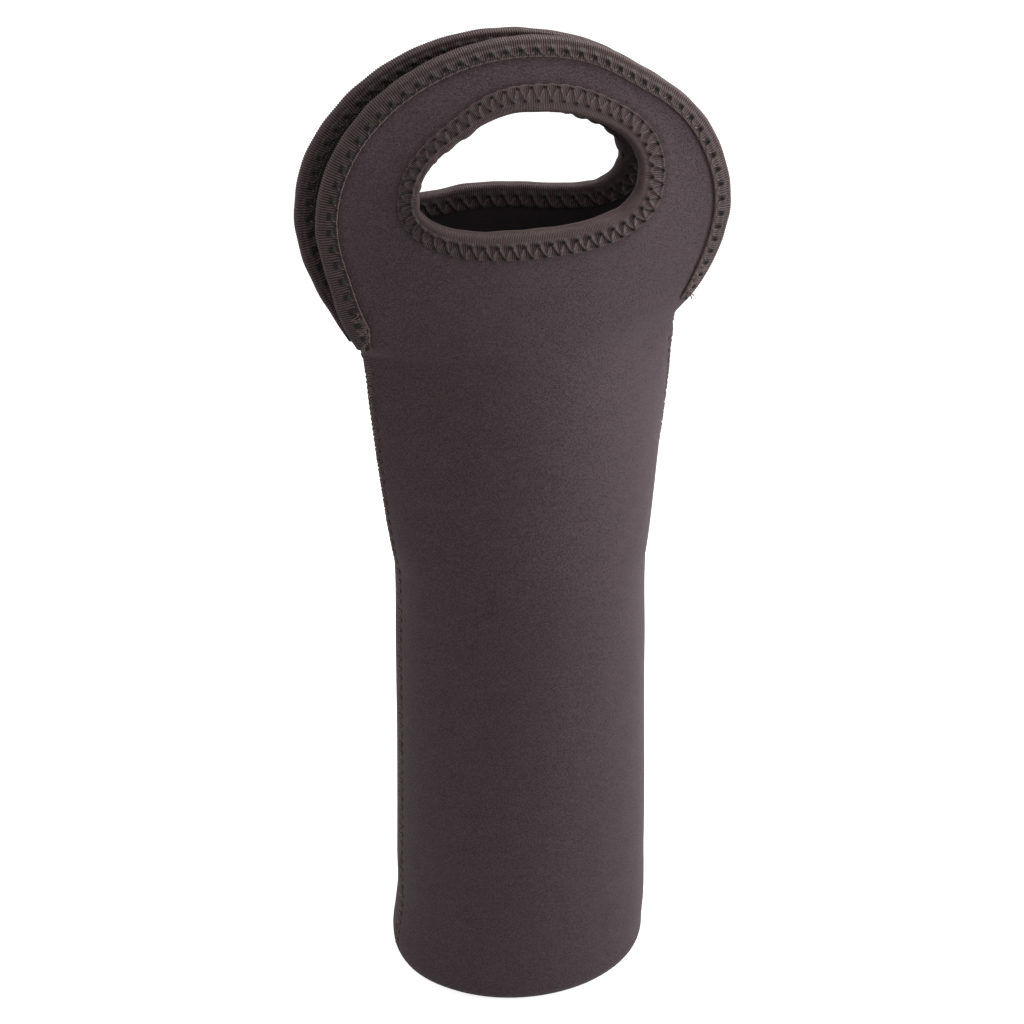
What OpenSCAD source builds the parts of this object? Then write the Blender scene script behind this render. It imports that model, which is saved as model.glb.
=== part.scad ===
// Soft bottle carrier: two foam sheet panels are sewn into an oval sleeve with a stitched-in base,
// and each panel runs up into a rounded handle with a grip hole. Sizes are in millimetres.
// Z is up, X runs across the panels and Y from the front panel to the back panel.
// The origin is the middle of the underside of the base.

/* [Sheet] */
// Thickness of the fabric-faced foam sheet
sheet_t = 4; // [3:0.5:5]

/* [Sleeve] */
// Half the width of the sleeve at its base
base_half_w = 48.8; // [46.8:0.5:54.3]
// Half the depth of the sleeve at its base
base_half_d = 42.2; // [40:0.5:48]
// Outside radius of the rounded lower corner
corner_r = 8; // [6:0.5:12]
// Height over which the wider base narrows to the straight sleeve
base_flare_h = 130; // [80:5:160]
// Half the width of the straight sleeve
sleeve_half_w = 45.5; // [42.5:0.5:50]
// Half the depth of the straight sleeve
sleeve_half_d = 41; // [38:0.5:46]
// Height at which the sleeve starts to flatten towards the handles
shoulder_z = 172; // [150:2:190]
// Height at which the side seams end
crotch_z = 260; // [245:1:275]
// Half the width where the side seams end
crotch_half_w = 58.3; // [55.3:0.5:63.3]
// Half the depth at the middle where the side seams end
crotch_half_d = 25.5; // [22:0.5:30]

/* [Handles] */
// Height of the handles above the ends of the side seams
handle_h = 101.5; // [90:0.5:115]
// Half the width of a handle at its widest
handle_half_w = 72.6; // [68:0.5:78]
// Height above those ends at which a handle is widest
widest_h = 43; // [36:1:50]
// Distance from the middle plane to the outer face at the top of a handle
top_half_d = 5.4; // [5.2:0.2:8]
// Distance from the middle plane to the outer face at a handle's edge just over the side seam
edge_half_d = 5.8; // [5.6:0.2:8]
// How far the handle edges stand further apart halfway up
edge_spread = 3.6; // [0:0.2:8]
// Lean of both handles in their own plane, in degrees
handle_lean = 3.5; // [0:0.5:5]
// Sideways set of the front handle
front_handle_shift = -2.3; // [-4:0.1:4]
// Sideways set of the back handle
back_handle_shift = -4.9; // [-6:0.1:6]

/* [Grip holes] */
// Half the width of the finished grip hole
grip_half_w = 37.5; // [34:0.5:42]
// Height of the middle of the grip hole above the ends of the side seams
grip_h = 55; // [52:0.5:58]
// Height of the grip hole above its middle
grip_rise = 22.5; // [19:0.5:25]
// Depth of the grip hole below its middle
grip_drop = 13; // [11:0.5:15]

/* [Bindings] */
// Thickness of the binding tape
tape_t = 0.7; // [0.5:0.1:0.9]
// Width of the tape on each face of a handle's outer edge
edge_tape_w = 7; // [6.5:0.5:9]
// Width of the tape on each face round a grip hole
grip_tape_w = 9; // [8:0.5:11]

/* [Stitching] */
// Length of one zigzag stitch pair along the edge tape
edge_zigzag_pitch = 5.5; // [5:0.5:8]
// Width of the zigzag on the edge tape
edge_zigzag_w = 3; // [2.6:0.1:3.6]
// Length of one zigzag stitch pair along the free edge of the tape round a grip hole
grip_zigzag_pitch = 4.7; // [4.5:0.1:7]
// Width of the zigzag round a grip hole
grip_zigzag_w = 4.4; // [4:0.1:5]
// Distance from a zigzag to the free edge of the tape
zigzag_edge = 0.6; // [0.5:0.1:1]
// Half the thickness of the sewing thread
thread_r = 0.35; // [0.25:0.05:0.45]
// Length of one loop pair along a side seam
seam_pitch = 4; // [4:0.5:7]
// Width of the side seams
seam_w = 3.5; // [3:0.25:4.5]
// Length of the dense bar of thread that ends each side seam
tack_len = 8; // [6:0.5:9]
// Radius of that bar
tack_r = 1.4; // [1:0.1:1.6]

/* [Flex lines] */
// Height above the ends of the side seams of the line about which a handle bends
flex_h = 5; // [3:0.5:8]
// Distance of that line from the middle plane
flex_d = 20; // [19:0.5:21]
// Radius of the rounded joint between sleeve and handle
flex_r = 6.4; // [6:0.1:6.8]

/* [Hidden] */

// Clearances
lay_gap = 0.2;
fold_gap = 0.3;
flex_gap = 0.6;
flex_side_gap = 0.6;
stitch_gap = 0.4;
seam_lift = 0.7;

// Shares for the rows of the sleeve panels: up to the shoulder, from there to where the side edges
// part, and from there to the handles
straight_shares = [0, 0.17, 0.42, 0.7];
flare_shares = [0, 0.14, 0.28, 0.42, 0.56, 0.7, 0.84];
parted_shares = [0, 0.28, 0.54, 0.78, 1];
// Shares of a handle's band for its rings
ring_shares = [0, 0.16, 0.32, 0.52, 0.7, 0.88, 1];
corner_rows = 4;
sleeve_cols = 28;
outline_steps = 44;
flex_steps = 24;
edge_tape_steps = 44;
grip_tape_steps = 40;
length_steps = 90;
turn_step = 2;
oval_steps = 48;

// Powers of the rounded outlines: 2 is an ellipse, more is squarer, less is more pointed
top_power = 2;
lower_power = 1.65;
grip_top_power = 2;
grip_low_power = 2.8;
// Sideways slant of the grip hole per unit of height, and its rise per unit of width
grip_slant_share = 0.2;
grip_tilt_share = 0.045;
// Rises of the depths towards the top
middle_power = 1.3;
flare_power = 0.9;
spread_power = 0.7;

// Heights that follow the ends of the side seams
handle_top_z = crotch_z + handle_h;
handle_widest_z = crotch_z + widest_h;
grip_z = crotch_z + grip_h;
flex_z = crotch_z + flex_h;
seam_end_z = crotch_z - tack_r - seam_lift;
// The lean grows between these heights
lean_from_z = flex_z;
lean_full_z = handle_widest_z;
// The side edges of the sleeve part over this height below the ends of the side seams
parting_h = flex_r;
parting_z = crotch_z - parting_h;
// Depth below the widest point at which the lower outline would close
lower_close = widest_h / pow(1 - pow(crotch_half_w / handle_half_w, lower_power), 1 / lower_power);

// Colours of the sheet on the front, the back and the base, and of the tape and the thread
front_colour = [0.3, 0.26, 0.25];
back_colour = [0.27, 0.23, 0.23];
base_colour = [0.22, 0.19, 0.19];
tape_colour = [0.23, 0.19, 0.18];
thread_colour = [0.14, 0.11, 0.11];

function mix(a, b, s) = a + (b - a) * s;
function held(s) = max(0, min(1, s));
function eased(s) = held(s) * held(s) * (3 - 2 * held(s));

// Half the width of the finished outline at a height
function outline_half_w(z) =
    z >= handle_widest_z
        ? handle_half_w * pow(1 - pow(held((z - handle_widest_z) / (handle_top_z - handle_widest_z)),
            top_power), 1 / top_power)
        : z > crotch_z
        ? handle_half_w * pow(1 - pow((handle_widest_z - z) / lower_close, lower_power), 1 / lower_power)
        : mix(mix(base_half_w, sleeve_half_w, eased(z / base_flare_h)), crotch_half_w,
            pow(held((z - shoulder_z) / (crotch_z - shoulder_z)), flare_power));

// Half the width that sets how the surface bows: it stays full above the widest point
function bow_half_w(z) = outline_half_w(min(z, handle_widest_z));

// Distance of the outer face from the middle plane, at the middle of a panel
function middle_d(z) =
    z >= crotch_z
        ? mix(crotch_half_d, top_half_d, pow(held((z - crotch_z) / handle_h), middle_power))
        : mix(mix(base_half_d, sleeve_half_d, eased(z / base_flare_h)), crotch_half_d,
            held((z - shoulder_z) / (crotch_z - shoulder_z)));

// The same at the side edges, which meet up to the end of the side seam
function edge_d(z) =
    z >= crotch_z
        ? mix(edge_half_d, top_half_d, held((z - crotch_z) / handle_h))
            + edge_spread * sin(180 * pow(held((z - crotch_z) / handle_h), spread_power))
        : edge_half_d * eased((z - parting_z) / parting_h);

// 0.5 gives an oval section and 1 a pointed one
function bow_power(z) = mix(0.5, 1, eased((z - shoulder_z) / (crotch_z - shoulder_z)));

// Distance of a panel's face from the middle plane, depth below its outer face
function face_d(x, z, depth) =
    mix(edge_d(z), middle_d(z), pow(max(0, 1 - pow(x / bow_half_w(z), 2)), bow_power(z))) - depth;

// A point of a handle from its place on the flat outline, with the lean applied
function leaned(x, z, y, shift) =
    let (w = eased((z - lean_from_z) / (lean_full_z - lean_from_z)))
    [x + w * (shift + (z - handle_widest_z) * sin(handle_lean)), -y, z - w * x * sin(handle_lean)];

// Drop of the joint between sleeve and handle for a face at a distance from the middle plane.
// The joint is rounded about the flex line, and its steep ends are drawn apart by the margin.
function joint_drop(d, r, margin) = sqrt(max(0, r * r - pow(max(0, abs(flex_d - d) + margin), 2)));

// Height of the joint where a face lies at x
function joint_z(x, depth, r, margin) =
    let (first = flex_z - joint_drop(face_d(x, flex_z, depth), r, margin))
    flex_z - joint_drop(face_d(x, first, depth), r, margin);

// The upper edge of a sleeve panel and the lower edge of a handle panel
function sleeve_top_z(x, depth) = joint_z(x, depth, flex_r + flex_gap, -flex_side_gap) - flex_gap / 2;
function handle_low_z(x, depth) = joint_z(x, depth, flex_r, flex_side_gap) + flex_gap / 2;

// The two triangles of a four-cornered face
function quad(a, b, c, d) = [[a, b, c], [a, c, d]];

// A closed sheet from two grids of points, outer and inner, whose rows may run round in a ring
module sheet_solid(outer, inner, ring) {
    rows = len(outer);
    cols = len(outer[0]);
    shift = rows * cols;
    last_row = ring ? rows - 1 : rows - 2;
    edge = cols - 1;
    end = rows - 1;
    function at(r, c) = (r % rows) * cols + c;
    points = concat([for (row = outer) each row], [for (row = inner) each row]);
    outside = [for (r = [0 : last_row]) for (c = [0 : cols - 2])
        each quad(at(r, c), at(r + 1, c), at(r + 1, c + 1), at(r, c + 1))];
    inside = [for (f = outside) [f[2] + shift, f[1] + shift, f[0] + shift]];
    low_rim = [for (r = [0 : last_row])
        each quad(at(r, 0), at(r, 0) + shift, at(r + 1, 0) + shift, at(r + 1, 0))];
    high_rim = [for (r = [0 : last_row])
        each quad(at(r, edge), at(r + 1, edge), at(r + 1, edge) + shift, at(r, edge) + shift)];
    first_end = ring ? [] : [for (c = [0 : cols - 2])
        each quad(at(0, c), at(0, c + 1), at(0, c + 1) + shift, at(0, c) + shift)];
    last_end = ring ? [] : [for (c = [0 : cols - 2])
        each quad(at(end, c), at(end, c) + shift, at(end, c + 1) + shift, at(end, c + 1))];
    polyhedron(points, concat(outside, inside, low_rim, high_rim, first_end, last_end));
}

// A thread from a list of three-cornered sections
module thread_solid(sections) {
    n = len(sections);
    points = [for (s = sections) each s];
    sides = [for (i = [0 : n - 2]) for (k = [0 : 2]) let (j = (k + 1) % 3)
        each quad(3 * i + k, 3 * i + j, 3 * i + 3 + j, 3 * i + 3 + k)];
    polyhedron(points, concat(sides, [[2, 1, 0], [3 * n - 3, 3 * n - 2, 3 * n - 1]]));
}

// A point of the front sleeve panel: turn runs from -90 to 90 across it
function sleeve_point(turn, z, inset) =
    let (
        parted = eased((z - shoulder_z) / (crotch_z - shoulder_z)),
        edge = max(0, edge_d(z) - inset),
        middle = middle_d(z) - inset
    )
    [(outline_half_w(z) - inset * (1 - parted)) * sin(turn),
        -mix(edge, middle, pow(max(0, cos(turn)), 2 * bow_power(z))), z];

// One face of the front sleeve panel, depth below the outer one
function sleeve_face(depth) =
    let (r = corner_r - depth)
    concat(
        [for (k = [0 : corner_rows - 1]) let (a = 90 * k / corner_rows)
            [for (c = [0 : sleeve_cols]) let (turn = 180 * c / sleeve_cols - 90)
                let (inset = corner_r - r * sin(a), edge = sleeve_point(turn, corner_r, inset))
                [edge[0], edge[1], corner_r - r * cos(a)]]],
        [for (s = straight_shares)
            [for (c = [0 : sleeve_cols]) let (turn = 180 * c / sleeve_cols - 90)
                sleeve_point(turn, mix(corner_r, shoulder_z, s), depth)]],
        [for (s = flare_shares)
            [for (c = [0 : sleeve_cols]) let (turn = 180 * c / sleeve_cols - 90)
                sleeve_point(turn, mix(shoulder_z, parting_z, s), depth)]],
        [for (s = parted_shares)
            [for (c = [0 : sleeve_cols]) let (
                turn = 180 * c / sleeve_cols - 90,
                top = sleeve_top_z(crotch_half_w * sin(turn), depth))
                sleeve_point(turn, mix(parting_z, top, s), depth)]]
    );

module body_panel() {
    sheet_solid(sleeve_face(0), sleeve_face(sheet_t), false);
}

// Distance from the middle of a rounded outline to its edge at an angle from straight up
function reach_at(angle, half_w, height, power) =
    1 / pow(pow(abs(sin(angle)) / half_w, power) + pow(abs(cos(angle)) / height, power), 1 / power);

// A point of a handle's finished outline
function edge_place(angle) =
    let (r = cos(angle) >= 0
        ? reach_at(angle, handle_half_w, handle_top_z - handle_widest_z, top_power)
        : reach_at(angle, handle_half_w, lower_close, lower_power))
    [r * sin(angle), handle_widest_z + r * cos(angle)];

// A point of the finished edge of the grip hole
function grip_place(angle) =
    let (
        r = cos(angle) >= 0
            ? reach_at(angle, grip_half_w, grip_rise, grip_top_power)
            : reach_at(angle, grip_half_w, grip_drop, grip_low_power),
        x = r * sin(angle),
        z = r * cos(angle)
    )
    [x + grip_slant_share * z, grip_z + z + grip_tilt_share * x];

// Direction into the sheet between two neighbouring points of an outline
function inward(before, after) =
    let (d = after - before, l = norm(d)) [d[1] / l, -d[0] / l];

function edge_inward(angle) = inward(edge_place(angle - turn_step), edge_place(angle + turn_step));
function grip_outward(angle) = -inward(grip_place(angle - turn_step), grip_place(angle + turn_step));

// Angle at which the outline passes a height below its widest point
function outline_angle(z) = atan2(outline_half_w(z), z - handle_widest_z);

// The sheet is cut short of the finished edges, to leave the fold of the tape its room
function edge_cut(angle) = edge_place(angle) + edge_inward(angle) * (tape_t + fold_gap);
function grip_cut(angle) = grip_place(angle) + grip_outward(angle) * (tape_t + fold_gap);

// The cut edge of a handle panel: over the top, then back along the joint with the sleeve
function handle_edge(depth) =
    let (
        corner_z = handle_low_z(outline_half_w(flex_z), depth),
        reach = outline_angle(corner_z),
        corner_x = edge_cut(reach)[0]
    )
    concat(
        [for (i = [0 : outline_steps]) edge_cut(mix(-reach, reach, i / outline_steps))],
        [for (i = [1 : flex_steps - 1]) let (x = mix(corner_x, -corner_x, i / flex_steps))
            [x, handle_low_z(x, depth)]]
    );

// One face of a handle panel as rings of points from the hole out to the cut edge
function handle_face(depth, shift) =
    [for (p = handle_edge(depth)) let (hole = grip_cut(atan2(p[0], p[1] - grip_z)))
        [for (s = ring_shares) let (x = mix(hole[0], p[0], s), z = mix(hole[1], p[1], s))
            leaned(x, z, face_d(x, z, depth), shift)]];

module handle_panel(shift) {
    sheet_solid(handle_face(0, shift), handle_face(sheet_t, shift), true);
}

// Section of a folded tape: across is the distance in from the finished edge, out the height off the
// outer face, which is negative past the inner face
function tape_point(p, n, across, out, shift) =
    let (x = p[0] + n[0] * across, z = p[1] + n[1] * across)
    leaned(x, z, face_d(x, z, 0) + out, shift);

function tape_outside(p, n, w, shift) =
    let (high = lay_gap + tape_t, low = -sheet_t - high)
    [tape_point(p, n, w, high, shift), tape_point(p, n, 0, high, shift),
        tape_point(p, n, 0, low, shift), tape_point(p, n, w, low, shift)];

function tape_inside(p, n, w, shift) =
    let (high = lay_gap, low = -sheet_t - high)
    [tape_point(p, n, w, high, shift), tape_point(p, n, tape_t, high, shift),
        tape_point(p, n, tape_t, low, shift), tape_point(p, n, w, low, shift)];

// The edge tape starts just over the joint with the sleeve
tape_start_z = flex_z + flex_gap;
tape_reach = outline_angle(tape_start_z);
length_step = tape_reach / length_steps;

module edge_binding(shift) {
    angles = [for (i = [0 : edge_tape_steps]) mix(-tape_reach, tape_reach, i / edge_tape_steps)];
    sheet_solid([for (a = angles) tape_outside(edge_place(a), edge_inward(a), edge_tape_w, shift)],
        [for (a = angles) tape_inside(edge_place(a), edge_inward(a), edge_tape_w, shift)], false);
}

module grip_binding(shift) {
    angles = [for (i = [0 : grip_tape_steps - 1]) -360 * i / grip_tape_steps];
    sheet_solid([for (a = angles) tape_outside(grip_place(a), grip_outward(a), grip_tape_w, shift)],
        [for (a = angles) tape_inside(grip_place(a), grip_outward(a), grip_tape_w, shift)], true);
}

// Tables of length along an outline against its angle
edge_lengths = [for (i = -length_steps, s = 0; i <= length_steps;
    s = s + norm(edge_place((i + 1) * length_step) - edge_place(i * length_step)), i = i + 1)
    [s, i * length_step]];
function grip_tape_edge(angle) = grip_place(angle) + grip_outward(angle) * grip_tape_w;
grip_lengths = [for (a = 0, s = 0; a <= 360;
    s = s + norm(grip_tape_edge(a + turn_step) - grip_tape_edge(a)), a = a + turn_step) [s, a]];

// A zigzag thread section on the outer face of the tape, or on its inner face
function stitch(p, n, across, inner, shift) =
    let (
        lift = lay_gap + tape_t + stitch_gap,
        low = inner ? -sheet_t - lift : lift,
        high = inner ? low - 2 * thread_r : low + 2 * thread_r,
        left = tape_point(p, n, across - thread_r, low, shift),
        right = tape_point(p, n, across + thread_r, low, shift),
        top = tape_point(p, n, across, high, shift)
    )
    inner ? [left, right, top] : [right, left, top];

module edge_stitching(shift) {
    total = edge_lengths[len(edge_lengths) - 1][0];
    near = edge_tape_w - zigzag_edge - edge_zigzag_w;
    half = edge_zigzag_pitch / 2;
    count = floor((total - edge_zigzag_pitch) / half);
    for (inner = [false, true])
        thread_solid([for (i = [0 : count]) let (
            a = lookup(half + i * half, edge_lengths))
            stitch(edge_place(a), edge_inward(a), near + (i % 2) * edge_zigzag_w, inner, shift)]);
}

module grip_stitching(shift) {
    total = grip_lengths[len(grip_lengths) - 1][0];
    near = grip_tape_w - zigzag_edge - grip_zigzag_w;
    pairs = floor(total / grip_zigzag_pitch);
    half = total / (2 * pairs);
    for (inner = [false, true])
        thread_solid([for (i = [0 : 2 * pairs - 1]) let (
            a = lookup(total - i * half, grip_lengths))
            stitch(grip_place(a), grip_outward(a), near + (i % 2) * grip_zigzag_w, inner, shift)]);
}

// Where the outer face of the sleeve lies at a distance y from the seam plane
function side_x(y, z) =
    outline_half_w(z) * sqrt(1 - pow(max(0, y - edge_d(z)) / (middle_d(z) - edge_d(z)), 1 / bow_power(z)));

// The looped thread crosses the seam from side to side and lies on its ridge at each crossing
module side_seam() {
    quarter = seam_pitch / 4;
    side_shares = [-1, 0, 1, 0];
    count = floor((seam_end_z - tack_r - corner_r) / quarter) - 1;
    thread_solid([for (i = [0 : count]) let (
        z = corner_r + i * quarter,
        y = side_shares[i % 4] * seam_w / 2,
        x = side_x(abs(y), z) + seam_lift)
        [[x, y - thread_r, z], [x, y + thread_r, z], [x + 2 * thread_r, y, z]]]);
}

function oval(half_w, half_d) =
    [for (i = [0 : oval_steps - 1]) let (a = 360 * i / oval_steps) [half_w * cos(a), half_d * sin(a)]];

module base_panel() {
    linear_extrude(sheet_t)
        polygon(oval(base_half_w - corner_r - lay_gap, base_half_d - corner_r - lay_gap));
}

// The overlocked joint between the base and the panels lies inside, on the edges that it joins
module base_seam() {
    bead_w = seam_w;
    bead_h = 2 * tack_r;
    translate([0, 0, sheet_t + lay_gap]) linear_extrude(bead_h) difference() {
        polygon(oval(base_half_w - corner_r, base_half_d - corner_r));
        polygon(oval(base_half_w - corner_r - bead_w, base_half_d - corner_r - bead_w));
    }
}

module bartack() {
    translate([outline_half_w(seam_end_z) + tack_r + seam_lift, 0, seam_end_z])
        rotate([90, 0, 0]) cylinder(r = tack_r, h = tack_len, center = true, $fn = 24);
}

// The back half is the front half mirrored
module at_back() { mirror([0, 1, 0]) children(); }
module at_left() { mirror([1, 0, 0]) children(); }

module front_body_panel() { color(front_colour) body_panel(); }
module back_body_panel() { color(back_colour) at_back() body_panel(); }
module sewn_base_panel() { color(base_colour) base_panel(); }
module front_handle_panel() { color(front_colour) handle_panel(front_handle_shift); }
module back_handle_panel() { color(back_colour) at_back() handle_panel(back_handle_shift); }
module front_edge_binding() { color(tape_colour) edge_binding(front_handle_shift); }
module back_edge_binding() { color(tape_colour) at_back() edge_binding(back_handle_shift); }
module front_grip_binding() { color(tape_colour) grip_binding(front_handle_shift); }
module back_grip_binding() { color(tape_colour) at_back() grip_binding(back_handle_shift); }
module front_edge_stitching() { color(thread_colour) edge_stitching(front_handle_shift); }
module back_edge_stitching() { color(thread_colour) at_back() edge_stitching(back_handle_shift); }
module front_grip_stitching() { color(thread_colour) grip_stitching(front_handle_shift); }
module back_grip_stitching() { color(thread_colour) at_back() grip_stitching(back_handle_shift); }
module left_side_seam() { color(thread_colour) at_left() side_seam(); }
module right_side_seam() { color(thread_colour) side_seam(); }
module sewn_base_seam() { color(thread_colour) base_seam(); }
module left_bartack() { color(thread_colour) at_left() bartack(); }
module right_bartack() { color(thread_colour) bartack(); }

front_body_panel();
back_body_panel();
sewn_base_panel();  // base_panel
front_handle_panel();
back_handle_panel();
front_edge_binding();
back_edge_binding();
front_grip_binding();
back_grip_binding();
front_edge_stitching();
back_edge_stitching();
front_grip_stitching();
back_grip_stitching();
left_side_seam();
right_side_seam();
sewn_base_seam();  // base_seam
left_bartack();
right_bartack();
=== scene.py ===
import functools
import math
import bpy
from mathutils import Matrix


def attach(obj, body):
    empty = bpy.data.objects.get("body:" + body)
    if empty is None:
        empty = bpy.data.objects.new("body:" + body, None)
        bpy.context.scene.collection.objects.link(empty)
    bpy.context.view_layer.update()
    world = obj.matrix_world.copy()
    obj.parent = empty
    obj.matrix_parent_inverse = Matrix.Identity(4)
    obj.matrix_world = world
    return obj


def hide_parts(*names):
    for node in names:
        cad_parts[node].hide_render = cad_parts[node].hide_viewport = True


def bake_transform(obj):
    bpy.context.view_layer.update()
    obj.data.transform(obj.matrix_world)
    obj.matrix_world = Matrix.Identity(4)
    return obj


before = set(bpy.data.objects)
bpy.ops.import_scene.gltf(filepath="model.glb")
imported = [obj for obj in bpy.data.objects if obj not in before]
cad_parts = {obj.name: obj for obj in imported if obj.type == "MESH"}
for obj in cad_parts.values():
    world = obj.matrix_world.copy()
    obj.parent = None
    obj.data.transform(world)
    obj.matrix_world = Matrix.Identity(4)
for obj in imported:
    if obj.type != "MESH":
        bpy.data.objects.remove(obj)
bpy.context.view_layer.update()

from types import SimpleNamespace

import bmesh
import bpy
import numpy as np
from mathutils import Euler, Vector
from mathutils.kdtree import KDTree

# Lengths below are in millimetres, and a mesh is scaled by this when it is made
MM = 0.001

# Panels: the same outline and depth as the construction's
SHEET_T = 4.0
BASE_HALF_W = 48.8
BASE_HALF_D = 42.2
CORNER_R = 8.0
BASE_FLARE_H = 130.0
SLEEVE_HALF_W = 45.5
SLEEVE_HALF_D = 41.0
SHOULDER_Z = 172.0
CROTCH_Z = 260.0
CROTCH_HALF_W = 58.3
CROTCH_HALF_D = 25.5
TOP_Z = 361.5
HANDLE_HALF_W = 72.6
WIDEST_Z = 303.0
TOP_HALF_D = 5.4
EDGE_HALF_D = 5.8
EDGE_SPREAD = 3.6
HANDLE_LEAN = math.radians(3.5)
LEAN_FROM_Z = 265.0
PARTING_H = 6.4
PARTING_Z = CROTCH_Z - PARTING_H

# Grip holes
GRIP_HALF_W = 37.5
GRIP_Z = 315.0
GRIP_RISE = 22.5
GRIP_DROP = 13.0
GRIP_SLANT = 0.2
GRIP_TILT = {"front": 0.045, "back": 0.01}

# Powers of the rounded outlines and of the way the sheet bows
TOP_POWER = 2.0
LOWER_POWER = 1.65
GRIP_TOP_POWER = 2.0
GRIP_LOW_POWER = {"front": 2.8, "back": 3.7}
MIDDLE_POWER = 1.3
FLARE_POWER = 0.9
SPREAD_POWER = 0.7
LOWER_CLOSE = (WIDEST_Z - CROTCH_Z) / (
    1 - (CROTCH_HALF_W / HANDLE_HALF_W) ** LOWER_POWER) ** (1 / LOWER_POWER)

# Binding tape and its zigzag
TAPE_T = 0.9
CUT_BACK = 1.0
NOSE_DEPTH = 2.6
TAPE_TIP_Z = {"left": 259.3, "right": 264.4}
EDGE_TAPE_W = 6.8
GRIP_TAPE_W = 9.0
RIB_PITCH = 0.83
GRIP_RIB_PITCH = 0.62
ROWS_PER_RIB = 5
EDGE_ZIGZAG_PITCH = 5.5
EDGE_ZIGZAG = (3.7, 6.7)
GRIP_ZIGZAG_PITCH = 4.7
GRIP_ZIGZAG = (4.3, 8.7)
THREAD_W = 0.45
PLY_TURN = 0.9
RING_STEP = 0.24

# Side seams, with the bar of thread at their upper end
SEAM_PITCH = 4.0
SEAM_W = 3.5
COVER_PITCH = 1.5
SEAM_START_Z = CORNER_R + 0.6
BARTACK_REACH = 3.4
BARTACK_LOOP = (1.45, 0.8, 0.5)

# The handles' own place: which way the panel faces and how far its handle sits to the side
SIDES = {"front": (-1.0, -2.3), "back": (1.0, -4.9)}
# How far the handles bulge out below the grip hole, how much more in the middle, and at the left edge
BELLY = 2.4
BELLY_MORE = {"front": 0.0, "back": 3.4}
EDGE_FLARE = 0.5
# How far the top of the back handle is drawn up, towards the left, above a height and over a run
BACK_LIFT = 1.6
BACK_LIFT_FROM = (325, 30)
BACK_LIFT_ACROSS = (25, 50)
# How far the front handle's upper right is pressed down, above a height and over a run, and where
FRONT_DROP = 0.9
FRONT_DROP_FROM = (330, 20)
FRONT_DROP_ACROSS = (36, 13)


def mix(a, b, share):
    return a + (b - a) * share


def held(share):
    return np.clip(share, 0.0, 1.0)


def eased(share):
    share = held(share)
    return share * share * (3 - 2 * share)


def bell(distance, width):
    return np.exp(-(distance / width) ** 2)


def bells(at, table, level=0):
    """A level with bells on it, each given by its height, its place and its width."""
    return sum((height * bell(at - place, width) for height, place, width in table), level)


def outline_half_width(z):
    """Half the width of the finished carrier at a height."""
    z = np.asarray(z, float)
    over = held((z - WIDEST_Z) / (TOP_Z - WIDEST_Z))
    under = held((WIDEST_Z - z) / LOWER_CLOSE)
    upper = HANDLE_HALF_W * np.maximum(0, 1 - over ** TOP_POWER) ** (1 / TOP_POWER)
    lower = HANDLE_HALF_W * np.maximum(0, 1 - under ** LOWER_POWER) ** (1 / LOWER_POWER)
    straight = mix(BASE_HALF_W, SLEEVE_HALF_W, eased(z / BASE_FLARE_H))
    flare = held((z - SHOULDER_Z) / (CROTCH_Z - SHOULDER_Z)) ** FLARE_POWER
    sleeve = mix(straight, CROTCH_HALF_W, flare)
    return np.where(z >= WIDEST_Z, upper, np.where(z > CROTCH_Z, lower, sleeve))


def bow_half_width(z):
    return outline_half_width(np.minimum(z, WIDEST_Z))


def drawn_middle_depth(z):
    rise = held((z - CROTCH_Z) / (TOP_Z - CROTCH_Z))
    handle = mix(CROTCH_HALF_D, TOP_HALF_D, rise ** MIDDLE_POWER)
    straight = mix(BASE_HALF_D, SLEEVE_HALF_D, eased(z / BASE_FLARE_H))
    sleeve = mix(straight, CROTCH_HALF_D, held((z - SHOULDER_Z) / (CROTCH_Z - SHOULDER_Z)))
    return np.where(z >= CROTCH_Z, handle, sleeve)


def middle_depth(z):
    """Distance of the outer face from the middle plane at the middle of a panel, eased at the crotch."""
    z = np.asarray(z, float)
    near = 14.0 * eased((z - SHOULDER_Z) / 60) * eased((TOP_Z - z) / 60)
    return sum(drawn_middle_depth(z + near * step) for step in (-1.0, -0.6, -0.2, 0.2, 0.6, 1.0)) / 6


def side_depth(z):
    """The same at the side edges, which part just below the crotch."""
    z = np.asarray(z, float)
    rise = held((z - CROTCH_Z) / (TOP_Z - CROTCH_Z))
    handle = mix(EDGE_HALF_D, TOP_HALF_D, rise) + EDGE_SPREAD * np.sin(np.pi * rise ** SPREAD_POWER)
    return np.where(z >= CROTCH_Z, handle, EDGE_HALF_D * eased((z - PARTING_Z) / PARTING_H))


def bow_power(z):
    """A round bow low down, which turns into a flat-edged one on the handles."""
    z = np.asarray(z, float)
    return mix(0.5, 1.0, eased((z - SHOULDER_Z) / (CROTCH_Z - SHOULDER_Z))) + 0.5 * eased((z - 262) / 30)


# Height, and how much wider than drawn the made carrier is there at its left and right edge
LEFT_SET = ((0, 0.8), (6, 0.7), (12, 1.0), (20, 0.15), (30, -0.75), (45, -0.3), (60, 0.0), (80, 0.45),
            (100, 0.85), (120, 1.2), (140, 1.15), (160, 0.9), (180, 1.35), (200, 1.25), (220, 1.05),
            (235, 0.85), (250, 0.4), (286, 0.2), (305, 0.0), (362, 0.0))
RIGHT_SET = ((0, 0.1), (12, 0.1), (20, 0.65), (45, 0.8), (60, 1.05), (80, 1.2), (100, 1.1), (120, 0.8),
             (140, 0.35), (160, -0.5), (180, -0.5), (200, -0.2), (220, -0.2), (235, -0.6), (245, -0.9),
             (252, -0.3), (256, -0.6), (259, -1.8), (262, -0.9), (266, 0.8), (270, 1.1), (275, 0.7),
             (280, 0.2), (290, -0.1), (305, 0.0), (362, 0.0))
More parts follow.
